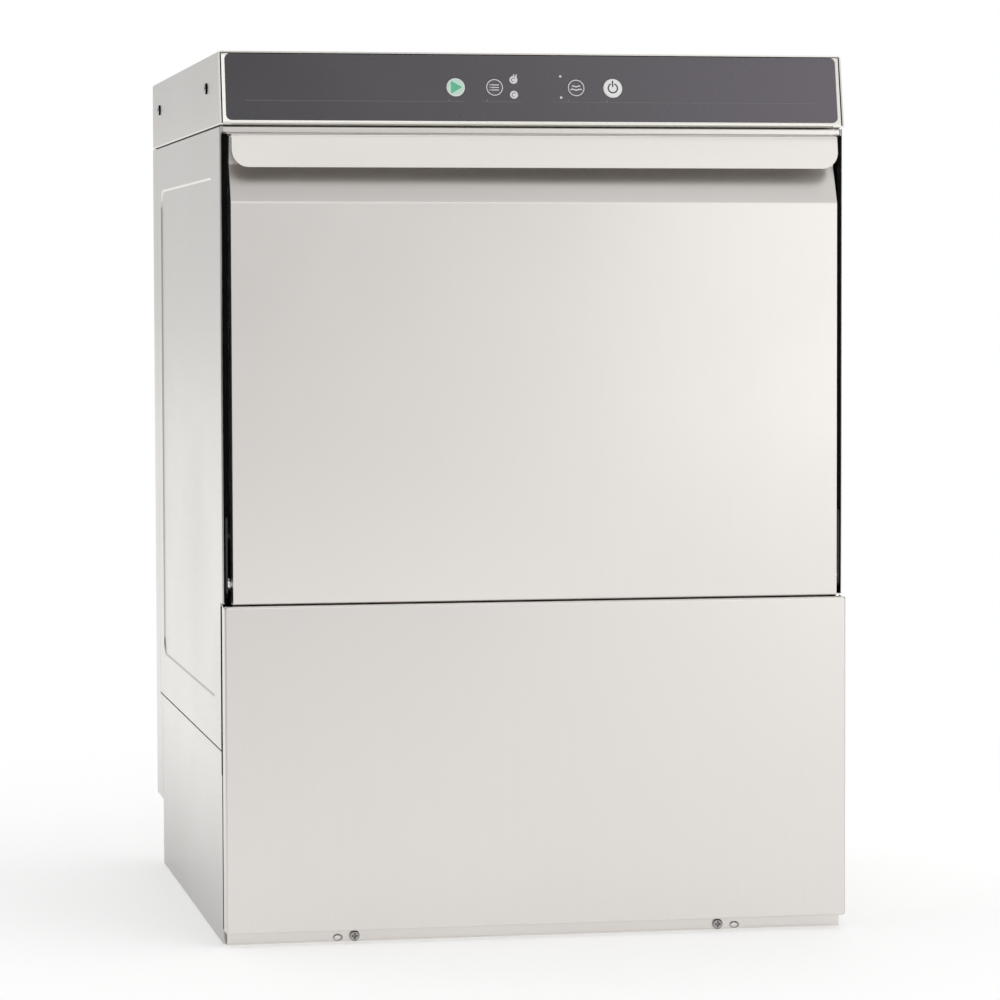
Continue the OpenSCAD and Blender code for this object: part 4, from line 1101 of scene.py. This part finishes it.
def hood_screws():
    """A dark collar as painted shade and a bright rounded shoulder as painted highlight round each
    screw head of the hood.
    """
    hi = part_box("top_cover")[1]
    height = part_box("case_screws")[1].z - 5 * MM
    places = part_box("side_panel_right")[0].y + 104.5 * MM, hi.y - 81 * MM
    # painted shade: a flat black collar round each head
    collar = (5.02, 0), (5.3, 0), (5.3, 1.7), (5.02, 1.9)
    # painted highlight: a rounded shoulder in lighter steel than the head
    shoulder = (5.02, 1.6), (4.95, 1.98), (4.65, 2.25), (4.2, 2.37), (3.75, 2.38), (3.75, 2.0)
    for name, material, profile in (("hood_screw_shade_collars", "dull_black", collar),
                                    ("hood_screw_highlight_shoulders", "bright_steel", shoulder)):
        bm = bmesh.new()
        for side in (-1, 1):
            for y in places:
                lathe(bm, [(r * MM, side * h * MM) for r, h in profile],
                      (side * hi.x, y, height), "X", False)
        fill(new_piece(name, "cabinet", material, "stainless_outer"), bm, 40, tidy=False)


def rail_nubs():
    """Two oval nubs pressed out of the front rail beside the screws, each with a thin dark painted
    shadow offset to its lower right.
    """
    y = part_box("front_panel")[0].y + 16.5 * MM
    nub = (1.04, 0.3), (1, -0.5), (0.95, -1.2), (0.84, -1.8), (0.66, -2.3), (0.4, -2.6), (0.12, -2.7)
    offset_shadow = (1, 0.3), (1, -0.25), (0.92, -0.4)
    # painted shadow: a grey ellipse behind each nub, shifted to its lower right
    for name, material, shift, z, half_x, half_z, profile in (
            ("rail_nubs", "stainless_outer", 0, 5.2, 4.2, 2.9, nub),
            ("nub_shadows", "ink_line", 0.4, 4.8, 4.8, 3.3, offset_shadow)):
        bm = bmesh.new()
        for side in (-1, 1):
            x = side * NUB_X + shift * MM
            rings(bm, [[(x + half_x * r * c * MM, y + w * MM, (z + half_z * r * s) * MM)
                        for c, s in circle(32)] for r, w in profile], cap_last=True)
        fill(new_piece(name, "cabinet", material, "stainless_outer"), bm, 60)


# ---- stage

AMBIENT = 0.78
# Brighter and darker zones of the surroundings: direction, cosine at the zone's rim, cosine where
# it is full, and the level that it adds.
ZONES = (
    ((-1, -0.25, 0.05), 0.40, 0.82, -0.66),    # dark flag at the left
    ((1, 0.15, 0.05), 0.66, 0.92, -0.66),      # dark flag at the right
    ((0, -1, -0.1), 0.30, 0.90, -0.28),        # low in front, for the door and the lower panel
    ((0, -1, 0.65), 0.86, 0.975, 0.46),        # high in front, for the fascia and the cove
    ((0, 0, 1), 0.20, 0.90, 0.20),             # overhead
    ((-0.25, -0.86, 0.44), 0.87, 0.95, 1.0),   # high at the front left
    ((-0.25, -0.65, 0.71), 0.86, 0.95, -1.0),
    ((0.5, -0.75, 0.43), 0.92, 0.97, -0.24),   # high at the front right
    ((0.45, -0.6, 0.66), 0.93, 0.99, 0.25),
    ((-0.1, 1, 0.08), 0.85, 0.99, 0.10),       # behind, near the horizon
)


def floor_material():
    """Pale floor that fades into white away from the object, duller at the front left."""
    material = bpy.data.materials.new("floor_pale")
    g = Graph(material)
    matt = g.node("ShaderNodeBsdfPrincipled")
    for key, value in (("Base Color", (0.86, 0.86, 0.86, 1)), ("Roughness", 0.7),
                       ("Emission Color", WHITE), ("Emission Strength", 0.42)):
        matt.inputs[key].default_value = value
    glow = g.node("ShaderNodeEmission")
    glow.inputs["Color"].default_value = WHITE
    place = g.node("ShaderNodeTexCoord").outputs["Object"]
    distance = g.node("ShaderNodeVectorMath", operation="LENGTH")
    g.feed(distance.inputs[0], place)
    strength = g.node("ShaderNodeMix")
    strength.inputs["B"].default_value = 1
    g.feed(strength.inputs["Factor"], g.node("ShaderNodeLightPath").outputs["Is Camera Ray"])
    g.feed(strength.inputs["A"], g.ramp(g.along(place, (1, 0.6, 0)), -2.1, -0.9, 0.80, 1.06))
    g.feed(glow.inputs["Strength"], strength.outputs[0])
    g.finish("ShaderNodeOutputMaterial",
             g.ramp(distance.outputs["Value"], 0.5, 1.6, 0, 1, "SMOOTHSTEP"),
             matt.outputs[0], glow.outputs[0])
    return material


def surroundings():
    """Soft white surroundings with brighter and darker zones, plain white to the camera."""
    world = bpy.data.worlds.new("studio")
    SCENE.world = world
    g = Graph(world)
    place = g.node("ShaderNodeTexCoord").outputs["Generated"]
    level = AMBIENT
    for direction, rim, full, added in ZONES:
        cosine = g.along(place, Vector(direction).normalized())
        level = g.maths("ADD", level, g.ramp(cosine, rim, full, 0, added, "SMOOTHSTEP"))
    seen, lit = g.node("ShaderNodeBackground"), g.node("ShaderNodeBackground")
    seen.inputs["Color"].default_value = WHITE
    g.feed(lit.inputs["Strength"], level)
    g.finish("ShaderNodeOutputWorld", g.node("ShaderNodeLightPath").outputs["Is Camera Ray"],
             lit.outputs[0], seen.outputs[0])


def studio():
    """Floor, surroundings and two soft lights."""
    mesh = bpy.data.meshes.new("floor")
    mesh.from_pydata([(-30, -30, 0), (30, -30, 0), (30, 30, 0), (-30, 30, 0)], [], [(0, 1, 2, 3)])
    floor = bpy.data.objects.new("floor", mesh)
    mesh.materials.append(floor_material())
    SCENE.collection.objects.link(floor)
    surroundings()
    soft_light("front_right", (1.3, -2.5, 0.95), (0.3, 0, 0.6), 1.4, 1.5, 5.8)
    soft_light("top", (0, -0.2, 3.2), (0, 0, 0), 2.4, 2.4, 10)


def soft_light(name, place, target, width, height, power):
    """A rectangular light that the camera doesn't see."""
    data = bpy.data.lights.new(name, "AREA")
    data.shape = "RECTANGLE"
    data.size, data.size_y, data.energy = width, height, power
    light = bpy.data.objects.new(name, data)
    light.location = place
    aim = Vector(target) - Vector(place)
    light.rotation_euler = aim.to_track_quat("-Z", "Y").to_euler()
    light.visible_camera = False
    SCENE.collection.objects.link(light)


def camera():
    """A long lens in front, to the left and just above the middle of the machine."""
    data = bpy.data.cameras.new("camera")
    data.sensor_width = 36
    data.lens = 143.46
    eye = bpy.data.objects.new("camera", data)
    SCENE.collection.objects.link(eye)
    yaw, pitch, roll = 0.18453, -0.05136, -0.00293
    ahead = Vector((sin(yaw) * cos(pitch), cos(yaw) * cos(pitch), sin(pitch)))
    right = Vector((cos(yaw), -sin(yaw), 0))
    up = right.cross(ahead)
    turned = right * cos(roll) + up * sin(roll)
    upward = up * cos(roll) - right * sin(roll)
    turn = Matrix((turned, upward, -ahead)).transposed().to_4x4()
    eye.matrix_world = Matrix.Translation((-0.7373, -4.0695, 0.6194)) @ turn
    data.clip_end = 100
    SCENE.camera = eye
    SCENE.view_settings.view_transform = "Standard"


dress_cad_nodes()
side_panel("side_panel_left", -1)
side_panel("side_panel_right", 1)
front_panel()
joint_strips()
gap_trims_and_shade()
header_lip()
hood()
door_skin()
door_liner()
rear_louvres()
controls()
chamber()
tank()
gasket()
springs()
clamps()
rail_nubs()
hood_screws()
studio()
camera()
